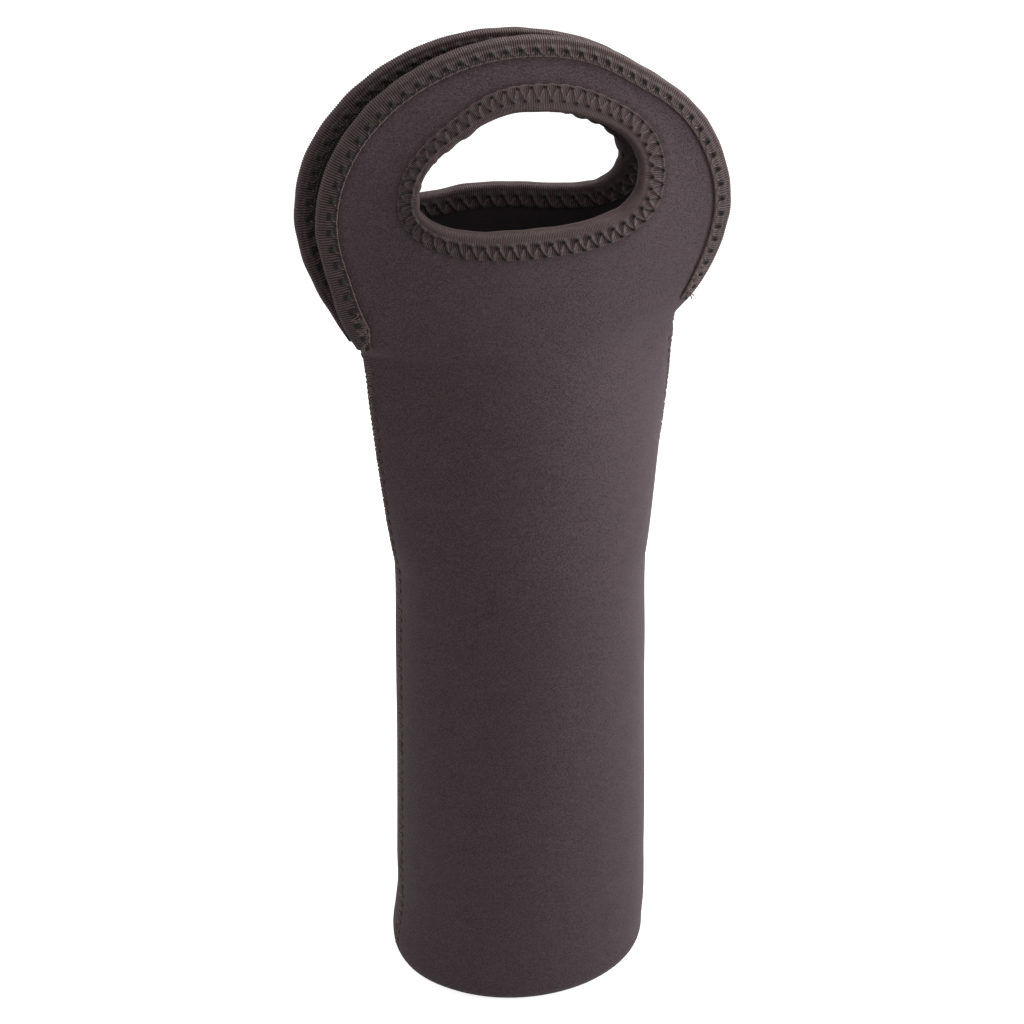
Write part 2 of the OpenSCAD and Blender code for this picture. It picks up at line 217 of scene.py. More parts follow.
# Bells by height, in millimetres to the right: of the handles' right edge, and of a whole handle
RIGHT_BELLS = ((1.6, 298, 20), (-3.4, 264, 13), (-2.2, 350, 11))
WHOLE_BELLS = {"front": (), "back": ((-1.0, 325, 22),)}
# How far a handle's lower left flap stands out, the height at which it starts to come in, and the run
LEFT_FLAP = {"front": (2.9, 266, 22), "back": (3.6, 272, 36)}
# Height at which a flap starts: of a panel, and of the tape on it
FLAP_Z = 257.0
TAPE_FLAP_Z = 250.0


def through(z, pairs):
    """A smooth line through pairs of height and value."""
    places, values = np.array(pairs, float).T
    slopes = np.gradient(values, places)
    i = np.clip(np.searchsorted(places, z) - 1, 0, len(places) - 2)
    span = places[i + 1] - places[i]
    share = held((z - places[i]) / span)
    rise = eased(share)
    return (mix(values[i], values[i + 1], rise)
            + span * share * (1 - share) * ((1 - share) * slopes[i] - share * slopes[i + 1]))


def hand_set(x, z, side, flap_z=FLAP_Z):
    """How far to the side the made carrier sits off its drawn outline: none is quite even."""
    right = eased((x - 8) / 40)
    far_left = eased((-x / bow_half_width(z) - 0.7) / 0.25)
    off = right * (bells(z, RIGHT_BELLS) + through(z, RIGHT_SET)) - far_left * through(z, LEFT_SET)
    reach, turn_z, run = LEFT_FLAP[side]
    flap = reach * far_left * eased((z - flap_z) / 5) * (1 - eased((z - turn_z) / run))
    return off - flap + bells(z, WHOLE_BELLS[side])


def soft_waves(x, z):
    """The slow unevenness of a stretched foam sheet."""
    inside = eased((1.0 - np.abs(x) / bow_half_width(z)) / 0.25)
    return inside * (0.25 * np.sin(x / 17.0 + 0.8) * np.sin(z / 29.0 + 1.1)
                     + 0.14 * np.sin(x / 9.5 + z / 21.0) * np.sin(z / 13.0 + 0.4))


def face_depth(x, z, side):
    """Distance of a panel's outer face from the middle plane."""
    share = x / bow_half_width(z)
    bow = np.maximum(0, 1 - share ** 2) ** bow_power(z)
    slack = held((z - PARTING_Z) / 20.0)
    flare = EDGE_FLARE * eased((-share - 0.72) / 0.28) * bell(z - 315, 26)
    belly = (BELLY + BELLY_MORE[side] * bell(share, 0.5)) * bell(z - 298, 24) * eased(1.15 - np.abs(share))
    return mix(side_depth(z), middle_depth(z), bow) + (soft_waves(x, z) + flare + belly) * slack


def leaned(x, z, depth, side, flap_z=FLAP_Z):
    """The place of a handle's point, with the lean and the sideways set of that handle."""
    sign, shift = SIDES[side]
    share = eased((z - LEAN_FROM_Z) / (WIDEST_Z - LEAN_FROM_Z))
    tilt = math.sin(HANDLE_LEAN)
    across = x + share * (shift + (z - WIDEST_Z) * tilt) + hand_set(x, z, side, flap_z)
    if side == "back":
        (from_z, run_z), (from_x, run_x) = BACK_LIFT_FROM, BACK_LIFT_ACROSS
        lift = BACK_LIFT * eased((z - from_z) / run_z) * eased((from_x - x) / run_x)
    else:
        (from_z, run_z), (middle_x, width) = FRONT_DROP_FROM, FRONT_DROP_ACROSS
        lift = -FRONT_DROP * bell(x - middle_x, width) * eased((z - from_z) / run_z)
    return np.stack([across, sign * depth, z - share * x * tilt + lift], -1)


def rounded_reach(angle, half_w, height, power):
    return 1 / ((np.abs(np.sin(angle)) / half_w) ** power
                + (np.abs(np.cos(angle)) / height) ** power) ** (1 / power)


def handle_outline(angle):
    """A point of a handle's finished edge at an angle from straight up."""
    reach = np.where(
        np.cos(angle) >= 0,
        rounded_reach(angle, HANDLE_HALF_W, TOP_Z - WIDEST_Z, TOP_POWER),
        rounded_reach(angle, HANDLE_HALF_W, LOWER_CLOSE, LOWER_POWER))
    return np.stack([reach * np.sin(angle), WIDEST_Z + reach * np.cos(angle)], -1)


# Bells round each grip hole, as shares of its reach by angle, and how much its lower half is stretched
GRIP_BELLS = {
    "front": ((-0.075, 0.95, 0.7), (0.075, -0.62, 0.38), (-0.02, -1.1, 0.25), (0.04, -1.5, 0.4)),
    "back": ((-0.16, 0.85, 0.45), (0.13, 1.7, 0.45), (0.15, -2.05, 0.35)),
}
GRIP_LOW_STRETCH = {"front": 0.09, "back": -0.18}


def grip_outline(angle, side):
    """A point of a grip hole's finished edge at an angle from straight up."""
    reach = np.where(
        np.cos(angle) >= 0,
        rounded_reach(angle, GRIP_HALF_W, GRIP_RISE, GRIP_TOP_POWER),
        rounded_reach(angle, GRIP_HALF_W, GRIP_DROP, GRIP_LOW_POWER[side]))
    turn = np.mod(angle + math.pi, 2 * math.pi) - math.pi
    low = eased(-np.cos(angle) * 1.5)
    reach = reach * (bells(turn, GRIP_BELLS[side], level=1) + GRIP_LOW_STRETCH[side] * low)
    x, z = reach * np.sin(angle), reach * np.cos(angle)
    return np.stack([x + GRIP_SLANT * z, GRIP_Z + z + GRIP_TILT[side] * x], -1)


def lengths_along(points):
    steps = np.linalg.norm(np.diff(points, axis=0), axis=1)
    return np.concatenate([[0.0], np.cumsum(steps)])


def normals_of(points, closed):
    """Unit normals to the right of the way that a flat line runs."""
    if closed:
        way = np.roll(points, -1, 0) - np.roll(points, 1, 0)
    else:
        way = np.gradient(points, axis=0)
    way /= np.linalg.norm(way, axis=1, keepdims=True)
    return np.stack([way[:, 1], -way[:, 0]], -1)


class Edge:
    """A finished edge in the flat: its points by length, and the direction into the sheet."""

    def __init__(self, points, closed, row):
        self.closed = closed
        ring = np.vstack([points, points[:1]]) if closed else points
        self.at = lengths_along(ring)
        self.points = ring
        into = normals_of(points, closed)
        self.into = np.vstack([into, into[:1]]) if closed else into
        self.length = self.at[-1]
        sewn = lengths_along(np.stack(self.place(self.at, row), -1))
        self.sewn = sewn * (self.length / sewn[-1])

    def sewn_at(self, s):
        """The length along the edge as the even stitches count it, out on their own row."""
        return np.interp(np.mod(s, self.length) if self.closed else s, self.at, self.sewn)

    def place(self, s, across):
        """Flat points at a length along the edge and a distance into the sheet."""
        if not self.closed:
            s = np.clip(s, 0, self.length)
        elif np.max(s) > self.length:
            s = np.mod(s, self.length)
        x = np.interp(s, self.at, self.points[:, 0]) + across * np.interp(s, self.at, self.into[:, 0])
        z = np.interp(s, self.at, self.points[:, 1]) + across * np.interp(s, self.at, self.into[:, 1])
        return x, z


def outer_edge():
    tip = math.atan2(float(outline_half_width(CROTCH_Z + 0.01)), CROTCH_Z - WIDEST_Z)
    over = handle_outline(np.linspace(-tip, tip, 2401))
    drop = over[1] - over[0]
    drop = drop / np.linalg.norm(drop)
    steps = np.arange((CROTCH_Z - TAPE_TIP_Z["left"]) / drop[1], 0, -0.2)
    left = over[0] - steps[:, None] * drop
    over = over[(over[:, 0] < 0) | (over[:, 1] > TAPE_TIP_Z["right"])]
    return Edge(np.vstack([left, over]), closed=False, row=EDGE_ZIGZAG[1])


def grip_edge(side):
    angles = -np.linspace(0, 2 * math.pi, 2400, endpoint=False)
    return Edge(grip_outline(angles, side), closed=True, row=GRIP_ZIGZAG[1])


OUTER = outer_edge()
GRIP = {side: grip_edge(side) for side in SIDES}
# The grip tape is cut to its free edge, which is the longer one
GRIP_FREE_LENGTH = lengths_along(np.stack(GRIP["front"].place(GRIP["front"].at, GRIP_TAPE_W), -1))[-1]
EDGE_PAIRS = round(OUTER.length / EDGE_ZIGZAG_PITCH)
GRIP_PAIRS = round(GRIP_FREE_LENGTH / GRIP_ZIGZAG_PITCH)


# How a tape lies, along its edge: how wide, how full its puffs and how tightly bunched its roll

def edge_width(s):
    return np.interp(s / OUTER.length, [0, 0.15, 0.42, 0.62, 0.85, 1], [0.95, 0.95, 0.86, 0.94, 1.05, 1.0])


def edge_full(q):
    share = q / OUTER.length
    return 0.5 + 0.5 * bell(share - 0.25, 0.25)


def edge_knuckles(s):
    return 0.06 * np.sin(s / 1.7) * (bell(s, 30.0) + bell(s - OUTER.length, 30.0))


def round_hole(q, top, left, bottom, right):
    """A value round a grip hole from four places on it, the narrow ends drawn closer together."""
    share = np.mod(q / GRIP["front"].length, 1.0)
    return np.interp(share, [0, 0.12, 0.24, 0.36, 0.5, 0.64, 0.75, 0.86, 1],
                     [top, mix(top, left, 0.55), left, mix(left, bottom, 0.35), bottom,
                      mix(bottom, right, 0.4), right, mix(top, right, 0.5), top])


def grip_width(s):
    return round_hole(s, 1.04, 0.82, 0.97, 0.97)


def grip_full(q):
    return round_hole(q, 0.1, 1.0, 0.7, 0.75)


# Uneven knuckles of the bunched rolls, as bells: depth, and place and width in shares of the way round
KNUCKLES = {
    "front": ((0.4, 0.135, 0.012), (0.5, 0.178, 0.010), (1.1, 0.218, 0.009), (0.7, 0.240, 0.006),
              (2.0, 0.264, 0.009), (0.5, 0.290, 0.007), (0.4, 0.318, 0.008), (0.25, 0.70, 0.010),
              (0.3, 0.79, 0.012)),
    "back": ((0.6, 0.24, 0.012), (0.5, 0.70, 0.010), (0.9, 0.765, 0.009), (0.6, 0.80, 0.008),
             (1.3, 0.832, 0.009), (0.6, 0.862, 0.007), (0.9, 0.893, 0.008)),
}


def grip_knuckles(s, side):
    """The bunched roll is drawn in at a few uneven places near the tight ends of a hole."""
    return bells(np.mod(s / GRIP[side].length, 1.0), KNUCKLES[side])


# The tapes: where each runs and how it lies there. Heights and depths of the surface are pull (under the
# thread), puff (between the legs), pit (at the needle holes), ridge, rib, scallop (of the free edge) and
# thread, and dome and eye are widths. Outer and stretch are shares, and so are the thread shade and shade,
# painted shade beside the thread and inside the free edge, and the edge highlight, a painted highlight
# along the free edge
EDGE_TAPE = SimpleNamespace(
    edge=OUTER, width=EDGE_TAPE_W, band=EDGE_ZIGZAG, pairs=EDGE_PAIRS, pitch=OUTER.length / EDGE_PAIRS,
    ribs=round(OUTER.length / RIB_PITCH), pull=0.3, puff=0.24, dome=1.0, pit=1.1, eye=1.2, outer=0.35,
    stretch=0.6, ridge=0.5, thread_shade=0.65, shade=0.5, edge_highlight=0.7, scallop=0.12, rib=0.3, thread=0.34,
    knuckles=edge_knuckles, full=edge_full, breadth=edge_width)
GRIP_TAPES = {side: SimpleNamespace(
    edge=GRIP[side], width=GRIP_TAPE_W, band=GRIP_ZIGZAG, pairs=GRIP_PAIRS,
    pitch=GRIP[side].length / GRIP_PAIRS, ribs=round(GRIP_FREE_LENGTH / GRIP_RIB_PITCH),
    pull=0.5, puff=1.1, dome=1.3, pit=1.2, eye=0.8, outer=0.85, stretch=0.95, ridge=0.2, thread_shade=0.85,
    shade=0.4, edge_highlight=0.12, scallop=0.45, rib=0.15, thread=0.2,
    knuckles=functools.partial(grip_knuckles, side=side), full=grip_full, breadth=grip_width)
    for side in SIDES}

ROLL_W = 1.2
# How narrow a tape is drawn at its left and right cut end, and over what length
END_TUCKS = (0.62, 0.95)
END_TUCK_RUN = 9.0
OUTER_HOLE_W = 0.55


def zigzag_across(s, pitch, band):
    """Where a zigzag lies across its tape at a length along it."""
    turn = np.abs(np.mod(s / pitch, 1.0) * 2 - 1)
    return mix(band[1], band[0], turn)


def widened(tape, s, across):
    """A tape is drawn narrow in places, lies wide in others and is tucked in at its cut ends."""
    more = tape.width * (tape.breadth(s) - 1)
    across = across + more * eased((across - ROLL_W) / (tape.width - ROLL_W))
    length = tape.edge.length
    if tape.edge.closed:
        return across
    tuck = np.where(s < length / 2, *END_TUCKS)
    return across * mix(tuck, 1.0, eased(np.minimum(s, length - s) / END_TUCK_RUN))


def off_thread(tape, q, across):
    """Signed distance from the zigzag's nearest leg, and distance from its inner and outer needle holes."""
    near, far = tape.band
    phase = np.mod(q / tape.pitch, 1.0)
    slope = 2 * (far - near) / tape.pitch
    outwards = np.where(phase < 0.5, 1.0, -1.0)
    leg = outwards * (zigzag_across(q, tape.pitch, tape.band) - across) / math.sqrt(1 + slope ** 2)
    past = across - near
    from_turn = (np.mod(phase + 0.5, 1.0) - 0.5) * tape.pitch
    inner = np.hypot(from_turn, past * np.where(past > 0, tape.stretch, 1.2))
    outer = np.hypot((phase - 0.5) * tape.pitch, (across - far) * 0.9)
    return leg, outwards, inner, outer


def stitch_relief(tape, q, across):
    """The relief that a zigzag leaves: low at the thread and the needle holes, high between the legs."""
    near = tape.band[0]
    leg, outwards, inner, outer = off_thread(tape, q, across)
    full = tape.full(q)
    sewn = eased((across - near + 0.9) / 1.3) * eased((tape.width + 0.8 - across) / 1.3)
    lump = (1 - bell(leg, tape.dome)) * mix(0.8, 1.2, held(0.5 + leg * outwards / 1.6))
    down = tape.pull * np.where(outwards > 0, 1.0, 0.55) * bell(leg, 0.34) * sewn
    inner_hole = bell(inner, tape.eye * mix(0.7, 1.0, full)) * mix(0.65, 1.0, full)
    pits = tape.pit * (inner_hole + tape.outer * bell(outer, OUTER_HOLE_W))
    dip = 0.25 * bell(across - near, 0.8)
    thin = 0.45 * eased((across - tape.width + 1.5) / 1.5)
    ridge = tape.ridge * bell(across - near + 1.5, 0.9)
    return (sewn * tape.puff * lump - down) * mix(0.2, 1.0, full) - pits - dip - thin + ridge


def tape_shade(tape, q, across):
    """How dark the painted shade on a tape is at its needle holes, beside its thread and along its free
    edge.
    """
    full = tape.full(q)
    leg, outwards, inner, outer = off_thread(tape, q, across)
    # Painted shadow beside the thread, which stands proud and shades its one side
    beside = np.where(outwards > 0, 1.0, 0.35) * bell(leg + 0.32, 0.36) * mix(0.25, 1.0, full)
    dark = mix(1.0, 1.8, full) * bell(inner, tape.eye * mix(0.65, 1.0, full))
    dark = dark + mix(3.2, 1.7, full) * tape.outer * bell(outer, OUTER_HOLE_W)
    # Painted shade just inside the free edge, where its step would cast a shadow
    groove = bell(across - tape.width + 0.75, 0.4) * held(mix(-0.4, 1.0, full))
    dark = held(held(dark + tape.thread_shade * beside) + tape.shade * groove)
    return dark * eased((across - tape.band[0] + 1.2) / 0.6)


def onto_sheet(tape, side, s, across, high):
    """The place of a point of a tape or its thread, at a height off the sheet's outer face."""
    x, z = tape.edge.place(s, widened(tape, s, across))
    base = face_depth(x, z, side)
    squeeze = np.minimum(1.0, np.maximum(0.2, base - 0.35) / (SHEET_T + TAPE_T))
    return leaned(x, z, base + np.where(high < 0, high * squeeze, high), side, TAPE_FLAP_Z)


# Meshes

def grid_faces(rows, cols, start, close_rows, close_cols):
    r = np.arange(rows if close_rows else rows - 1)
    c = np.arange(cols if close_cols else cols - 1)
    r, c = np.meshgrid(r, c, indexing="ij")
    r2, c2 = (r + 1) % rows, (c + 1) % cols
    quads = np.stack([r * cols + c, r * cols + c2, r2 * cols + c2, r2 * cols + c], -1)
    return quads.reshape(-1, 4) + start


def mesh_from(name, points, quads):
    """A smooth mesh from points in millimetres and four-cornered faces."""
    mesh = bpy.data.meshes.new(name)
    mesh.vertices.add(len(points))
    mesh.vertices.foreach_set("co", (np.asarray(points) * MM).astype(np.float32).ravel())
    mesh.loops.add(quads.size)
    mesh.loops.foreach_set("vertex_index", quads.astype(np.int32).ravel())
    mesh.polygons.add(len(quads))
    mesh.polygons.foreach_set("loop_start", np.arange(0, quads.size, 4, dtype=np.int32))
    mesh.polygons.foreach_set("loop_total", np.full(len(quads), 4, np.int32))
    mesh.polygons.foreach_set("use_smooth", np.ones(len(quads), bool))
    mesh.update(calc_edges=True)
    return mesh


def write_layer(mesh, name, values):
    """A number or a place for every point, which the materials and node trees read."""
    single = values.size == len(mesh.vertices)
    layer = mesh.attributes.new(name, "FLOAT" if single else "FLOAT_VECTOR", "POINT")
    layer.data.foreach_set("value" if single else "vector", values.astype(np.float32).ravel())


def close_shell(mesh, gap=0.0, cap=False, fan=False):
    """Caps open ends, joins points closer than the gap and turns the faces outwards."""
    work = bmesh.new()
    work.from_mesh(mesh)
    open_edges = [edge for edge in work.edges if cap and edge.is_boundary]
    caps = bmesh.ops.holes_fill(work, edges=open_edges, sides=0)["faces"] if open_edges else []
    for face in caps if fan else []:
        bmesh.ops.poke(work, faces=[face])
    if gap > 0:
        bmesh.ops.remove_doubles(work, verts=work.verts, dist=gap)
    bmesh.ops.recalc_face_normals(work, faces=work.faces)
    work.to_mesh(mesh)
    work.free()
    mesh.polygons.foreach_set("use_smooth", np.ones(len(mesh.polygons), bool))


def piece_of(name, mesh):
    piece = bpy.data.objects.new(name, mesh)
    bpy.context.scene.collection.objects.link(piece)
    return piece


def settled(piece, name):
    """The piece with its node tree worked out into a plain mesh."""
    bpy.context.view_layer.update()
    graph = bpy.context.evaluated_depsgraph_get()
    mesh = bpy.data.meshes.new_from_object(piece.evaluated_get(graph))
    mesh.name = name
    piece.modifiers.clear()
    bpy.data.objects.remove(piece)
    return piece_of(name, mesh)


# Node trees

def put(tree, kind, *values, **settings):
    """Adds a node: settings are its own, values go to its inputs in order or by name."""
    named = settings.pop("named", {})
    node = tree.nodes.new(kind)
    for key, value in settings.items():
        setattr(node, key, value)
    for key, value in [*enumerate(values), *named.items()]:
        if value is None:
            continue
        if isinstance(value, bpy.types.NodeSocket):
            tree.links.new(value, node.inputs[key])
        else:
            node.inputs[key].default_value = value
    return node


def sum_of(tree, operation, *values):
    return put(tree, "ShaderNodeMath", *values, operation=operation).outputs[0]


def new_tree(name, *labels):
    """A node tree that takes a mesh, a number for each label and a material."""
    tree = bpy.data.node_groups.new(name, "GeometryNodeTree")
    numbers = [(label, "NodeSocketFloat") for label in labels]
    for label, kind in [("Geometry", "NodeSocketGeometry"), *numbers, ("Material", "NodeSocketMaterial")]:
        tree.interface.new_socket(label, in_out="INPUT", socket_type=kind)
    tree.interface.new_socket("Geometry", in_out="OUTPUT", socket_type="NodeSocketGeometry")
    return tree, tree.nodes.new("NodeGroupInput").outputs, tree.nodes.new("NodeGroupOutput").inputs


def close_tree(tree, geometry, material, result):
    """Ends a tree: what it made becomes a plain mesh with its material."""
    real = put(tree, "GeometryNodeRealizeInstances", geometry).outputs[0]
    finished = put(tree, "GeometryNodeSetMaterial", real, named={"Material": material}).outputs[0]
    tree.links.new(finished, result[0])


def run_tree(piece, tree, values, name):
    """Puts the tree on the piece, sets its named inputs and settles it."""
    modifier = piece.modifiers.new("shape", "NODES")
    modifier.node_group = tree
    for item in tree.interface.items_tree:
        if item.in_out == "INPUT" and item.name in values:
            modifier[item.identifier] = values[item.name]
    return settled(piece, name)


def layer_in(tree, name, kind="FLOAT"):
    return put(tree, "GeometryNodeInputNamedAttribute", named={"Name": name}, data_type=kind).outputs[0]


def circle_in(tree, resolution, radius):
    return put(tree, "GeometryNodeCurvePrimitiveCircle",
               named={"Resolution": resolution, "Radius": radius}).outputs[0]


def ribbed_tree():
    """Presses the cross ribs into the binding tape, along the way that each point has as its inward."""
    tree, given, result = new_tree("ribbed_tape", "Rib depth")
    wave = sum_of(tree, "MULTIPLY_ADD", sum_of(tree, "COSINE", layer_in(tree, "rib_turn")), 0.5, 0.5)
    rounded = sum_of(tree, "POWER", wave, 0.7)
    share = sum_of(tree, "MULTIPLY", rounded, layer_in(tree, "rib_share"))
    depth = sum_of(tree, "MULTIPLY", share, given["Rib depth"])
    inward = layer_in(tree, "inward", "FLOAT_VECTOR")
    shift = put(tree, "ShaderNodeVectorMath", inward, operation="SCALE", named={"Scale": depth}).outputs[0]
    moved = put(tree, "GeometryNodeSetPosition", given["Geometry"], named={"Offset": shift}).outputs[0]
    # The rib wave is kept for the tape's material, which paints highlight and shade by it
    kept = put(tree, "GeometryNodeStoreNamedAttribute", moved, domain="POINT", data_type="FLOAT",
               named={"Name": "rib", "Value": rounded}).outputs[0]
    close_tree(tree, kept, given["Material"], result)
    return tree


def thread_tree():
    """Turns lines into two-ply sewing thread: a flattened round that twists as it goes."""
    tree, given, result = new_tree("sewing_thread", "Width", "Ply turn", "Ring step")
    line = put(tree, "GeometryNodeMeshToCurve", given["Geometry"]).outputs[0]
    smooth = put(tree, "GeometryNodeCurveSplineType", line, spline_type="CATMULL_ROM").outputs[0]
    even = put(tree, "GeometryNodeResampleCurve", smooth, mode="LENGTH",
               named={"Length": given["Ring step"]}).outputs[0]
    length = put(tree, "GeometryNodeSplineParameter").outputs["Length"]
    twist = sum_of(tree, "MULTIPLY", sum_of(tree, "DIVIDE", length, given["Ply turn"]), math.pi)
    tilted = put(tree, "GeometryNodeSetCurveTilt", even, named={"Tilt": twist}).outputs[0]
    ring = circle_in(tree, 8, sum_of(tree, "MULTIPLY", given["Width"], 0.56))
    flat = put(tree, "GeometryNodeTransform", ring, named={"Scale": (1.0, 0.66, 1.0)}).outputs[0]
    tube = put(tree, "GeometryNodeCurveToMesh", tilted, flat, named={"Fill Caps": True}).outputs[0]
    smooth_tube = put(tree, "GeometryNodeSetShadeSmooth", tube).outputs[0]
    close_tree(tree, smooth_tube, given["Material"], result)
    return tree


def wrap_tree():
    """Wraps loops of thread, one after the other, round a line."""
    tree, given, result = new_tree(
        "thread_wraps", "Loop radius", "Loop squash", "Width", "Spacing", "Unevenness")
    line = put(tree, "GeometryNodeMeshToCurve", given["Geometry"]).outputs[0]
    places = put(tree, "GeometryNodeCurveToPoints", line, mode="LENGTH", named={"Length": given["Spacing"]})
    loop = circle_in(tree, 18, given["Loop radius"])
    scale = put(tree, "ShaderNodeCombineXYZ", 1.0, given["Loop squash"], 1.0).outputs[0]
    loop = put(tree, "GeometryNodeTransform", loop, named={"Scale": scale}).outputs[0]
    ring = circle_in(tree, 6, sum_of(tree, "MULTIPLY", given["Width"], 0.5))
    strand = put(tree, "GeometryNodeCurveToMesh", loop, ring).outputs[0]
    strand = put(tree, "GeometryNodeSetShadeSmooth", strand).outputs[0]
    turned = put(tree, "FunctionNodeRandomValue", data_type="FLOAT_VECTOR", named={"Seed": 7})
    least = sum_of(tree, "MULTIPLY", given["Unevenness"], -1.0)
    for label, value in (("Min", least), ("Max", given["Unevenness"])):
        corner = put(tree, "ShaderNodeCombineXYZ", value, value, value).outputs[0]
        tree.links.new(corner, turned.inputs[label])
    along = put(tree, "FunctionNodeAlignEulerToVector", axis="Z",
                named={"Vector": places.outputs["Tangent"]}).outputs[0]
    facing = put(tree, "FunctionNodeRotateEuler", along, space="LOCAL",
                 named={"Rotate By": turned.outputs["Value"]}).outputs[0]
    wraps = put(tree, "GeometryNodeInstanceOnPoints", places.outputs["Points"],
                named={"Instance": strand, "Rotation": facing}).outputs[0]
    close_tree(tree, wraps, given["Material"], result)
    return tree


# Materials

# The knit's loops: how wide a wale is and how high a course, in millimetres of cloth
WALE_W = 0.62
COURSE_H = 0.5
# How fine the knit's fluff, specks, slow clouds and tints are, and how fine its wales wander
FLUFF_SCALE = 2.4
SPECK_SCALE = 2.9
CLOUD_SCALE = 0.11
TINT_SCALE = 0.9
WANDER_SCALE = 0.8
# How deep the finest bumps of the knit and the tape are, and those of the thread, in metres
CLOTH_BUMP = 0.00006
THREAD_BUMP = 0.00004


def paint(red, green, blue):
    """A colour as the eye sees it, 0 to 255, in the scale that the shader takes."""
    shares = [value / 255 for value in (red, green, blue)]
    return (*[s / 12.92 if s <= 0.04045 else ((s + 0.055) / 1.055) ** 2.4 for s in shares], 1.0)


# The darkest and the lightest of each material, and the painted shade of needle holes and of the cloth's
# inside
JERSEY_TONES = (paint(38, 30, 33), paint(93, 77, 82))
JERSEY_SHADOW = paint(14, 10, 11)
JERSEY_SHEEN = paint(190, 178, 182)
# The tape's dark and light tones are mostly painted shade in the rib grooves and painted highlight on the
# cords
TAPE_TONES = (paint(16, 11, 11), paint(105, 85, 84))
TAPE_SHADOW = paint(14, 9, 10)
# A painted highlight: the light line along each tape's free edge
TAPE_EDGE_HIGHLIGHT = paint(128, 108, 105)
TAPE_SHEEN = paint(190, 168, 165)
THREAD_TONES = (paint(68, 56, 55), paint(138, 119, 115))
THREAD_SHEEN = paint(150, 138, 135)


def new_material(name, roughness, sheen, sheen_roughness, sheen_colour):
    material = bpy.data.materials.new(name)
    material.use_nodes = True
    tree = material.node_tree
    shader = tree.nodes["Principled BSDF"]
    shader.inputs["Roughness"].default_value = roughness
    shader.inputs["Specular IOR Level"].default_value = 0.25
    shader.inputs["Sheen Weight"].default_value = sheen
    shader.inputs["Sheen Roughness"].default_value = sheen_roughness
    shader.inputs["Sheen Tint"].default_value = sheen_colour
    return material, tree, shader


def blend_colours(tree, share, first, second, kind="MIX"):
    node = put(tree, "ShaderNodeMix", data_type="RGBA", blend_type=kind)
    for key, value in (("Factor", share), ("A", first), ("B", second)):
        socket = [s for s in node.inputs if s.name == key and (key == "Factor") == (s.type == "VALUE")
                  and (key == "Factor" or s.type == "RGBA")][0]
        if isinstance(value, bpy.types.NodeSocket):
            tree.links.new(value, socket)
        else:
            socket.default_value = value
    return [s for s in node.outputs if s.type == "RGBA"][0]


def layer_read(tree, name, output="Fac"):
    """What each point of a mesh carries, read by a material."""
    return put(tree, "ShaderNodeAttribute", attribute_name=name, attribute_type="GEOMETRY").outputs[output]


def noise(tree, place, scale, detail, output=0, **more):
    return put(tree, "ShaderNodeTexNoise", place,
               named={"Scale": scale, "Detail": detail, **more}).outputs[output]


def sine_of(tree, turns):
    return sum_of(tree, "SINE", sum_of(tree, "MULTIPLY", turns, 2 * math.pi))


def join_finish(tree, shader, colour, height, strength, depth):
    """Gives a shader its colour and its finest surface, with depth in metres."""
    bump = put(tree, "ShaderNodeBump",
               named={"Strength": strength, "Distance": depth, "Height": height}).outputs[0]
    tree.links.new(colour, shader.inputs["Base Color"])
    tree.links.new(bump, shader.inputs["Normal"])


def jersey_material():
    """Knitted jersey face: fine wales of small loops, fuzzy, with a slight melange, and painted shade in
    the seam's needle holes and on the inner face.
    """
    material, tree, shader = new_material("jersey_knit", 0.85, 0.3, 0.45, JERSEY_SHEEN)
    cloth = layer_read(tree, "cloth", "Vector")
    wander = noise(tree, cloth, WANDER_SCALE, 2.0, "Color")
    drift = put(tree, "ShaderNodeVectorMath", wander, (0.5, 0.5, 0.0), operation="MULTIPLY").outputs[0]
    place = put(tree, "ShaderNodeVectorMath", cloth, drift, operation="ADD").outputs[0]
    parts = put(tree, "ShaderNodeSeparateXYZ", place).outputs
    leg = sum_of(tree, "PINGPONG", sum_of(tree, "DIVIDE", parts[0], WALE_W), 0.5)
    slant = sum_of(tree, "MULTIPLY", leg, 1.3)
    course = sum_of(tree, "ADD", sum_of(tree, "DIVIDE", parts[1], COURSE_H), slant)
    loops = sum_of(tree, "MULTIPLY_ADD", sine_of(tree, course), 0.5, 0.5)
    knit = sum_of(tree, "MULTIPLY_ADD", loops, 0.55, sum_of(tree, "MULTIPLY", sine_of(tree, leg), 0.45))
    fluff = noise(tree, cloth, FLUFF_SCALE, 1.0, Roughness=0.7)
    cloud = noise(tree, cloth, CLOUD_SCALE, 2.0)
    tint = noise(tree, cloth, TINT_SCALE, 2.0, "Color")
    cell = put(tree, "ShaderNodeTexVoronoi", cloth, named={"Scale": SPECK_SCALE}).outputs["Color"]
    speck = put(tree, "ShaderNodeSeparateXYZ", cell).outputs[0]
    grain = sum_of(tree, "MULTIPLY_ADD", fluff, 1.1, sum_of(tree, "MULTIPLY_ADD", speck, 0.45, -0.43))
    tone = sum_of(tree, "MULTIPLY_ADD", knit, 0.22, sum_of(tree, "MULTIPLY_ADD", cloud, 0.16, -0.13))
    colour = blend_colours(tree, sum_of(tree, "ADD", tone, grain), *JERSEY_TONES)
    colour = blend_colours(tree, 0.10, colour, tint, "SOFT_LIGHT")
    # Painted shade: darker in the side seam's needle holes and on the panels' inner faces
    holes = put(tree, "ShaderNodeSeparateXYZ", cloth).outputs[2]
    colour = blend_colours(tree, sum_of(tree, "MULTIPLY", holes, 0.85), colour, JERSEY_SHADOW)
    height = sum_of(tree, "MULTIPLY_ADD", fluff, 0.8, sum_of(tree, "MULTIPLY", knit, 0.7))
    join_finish(tree, shader, colour, height, 0.35, CLOTH_BUMP)
    return material


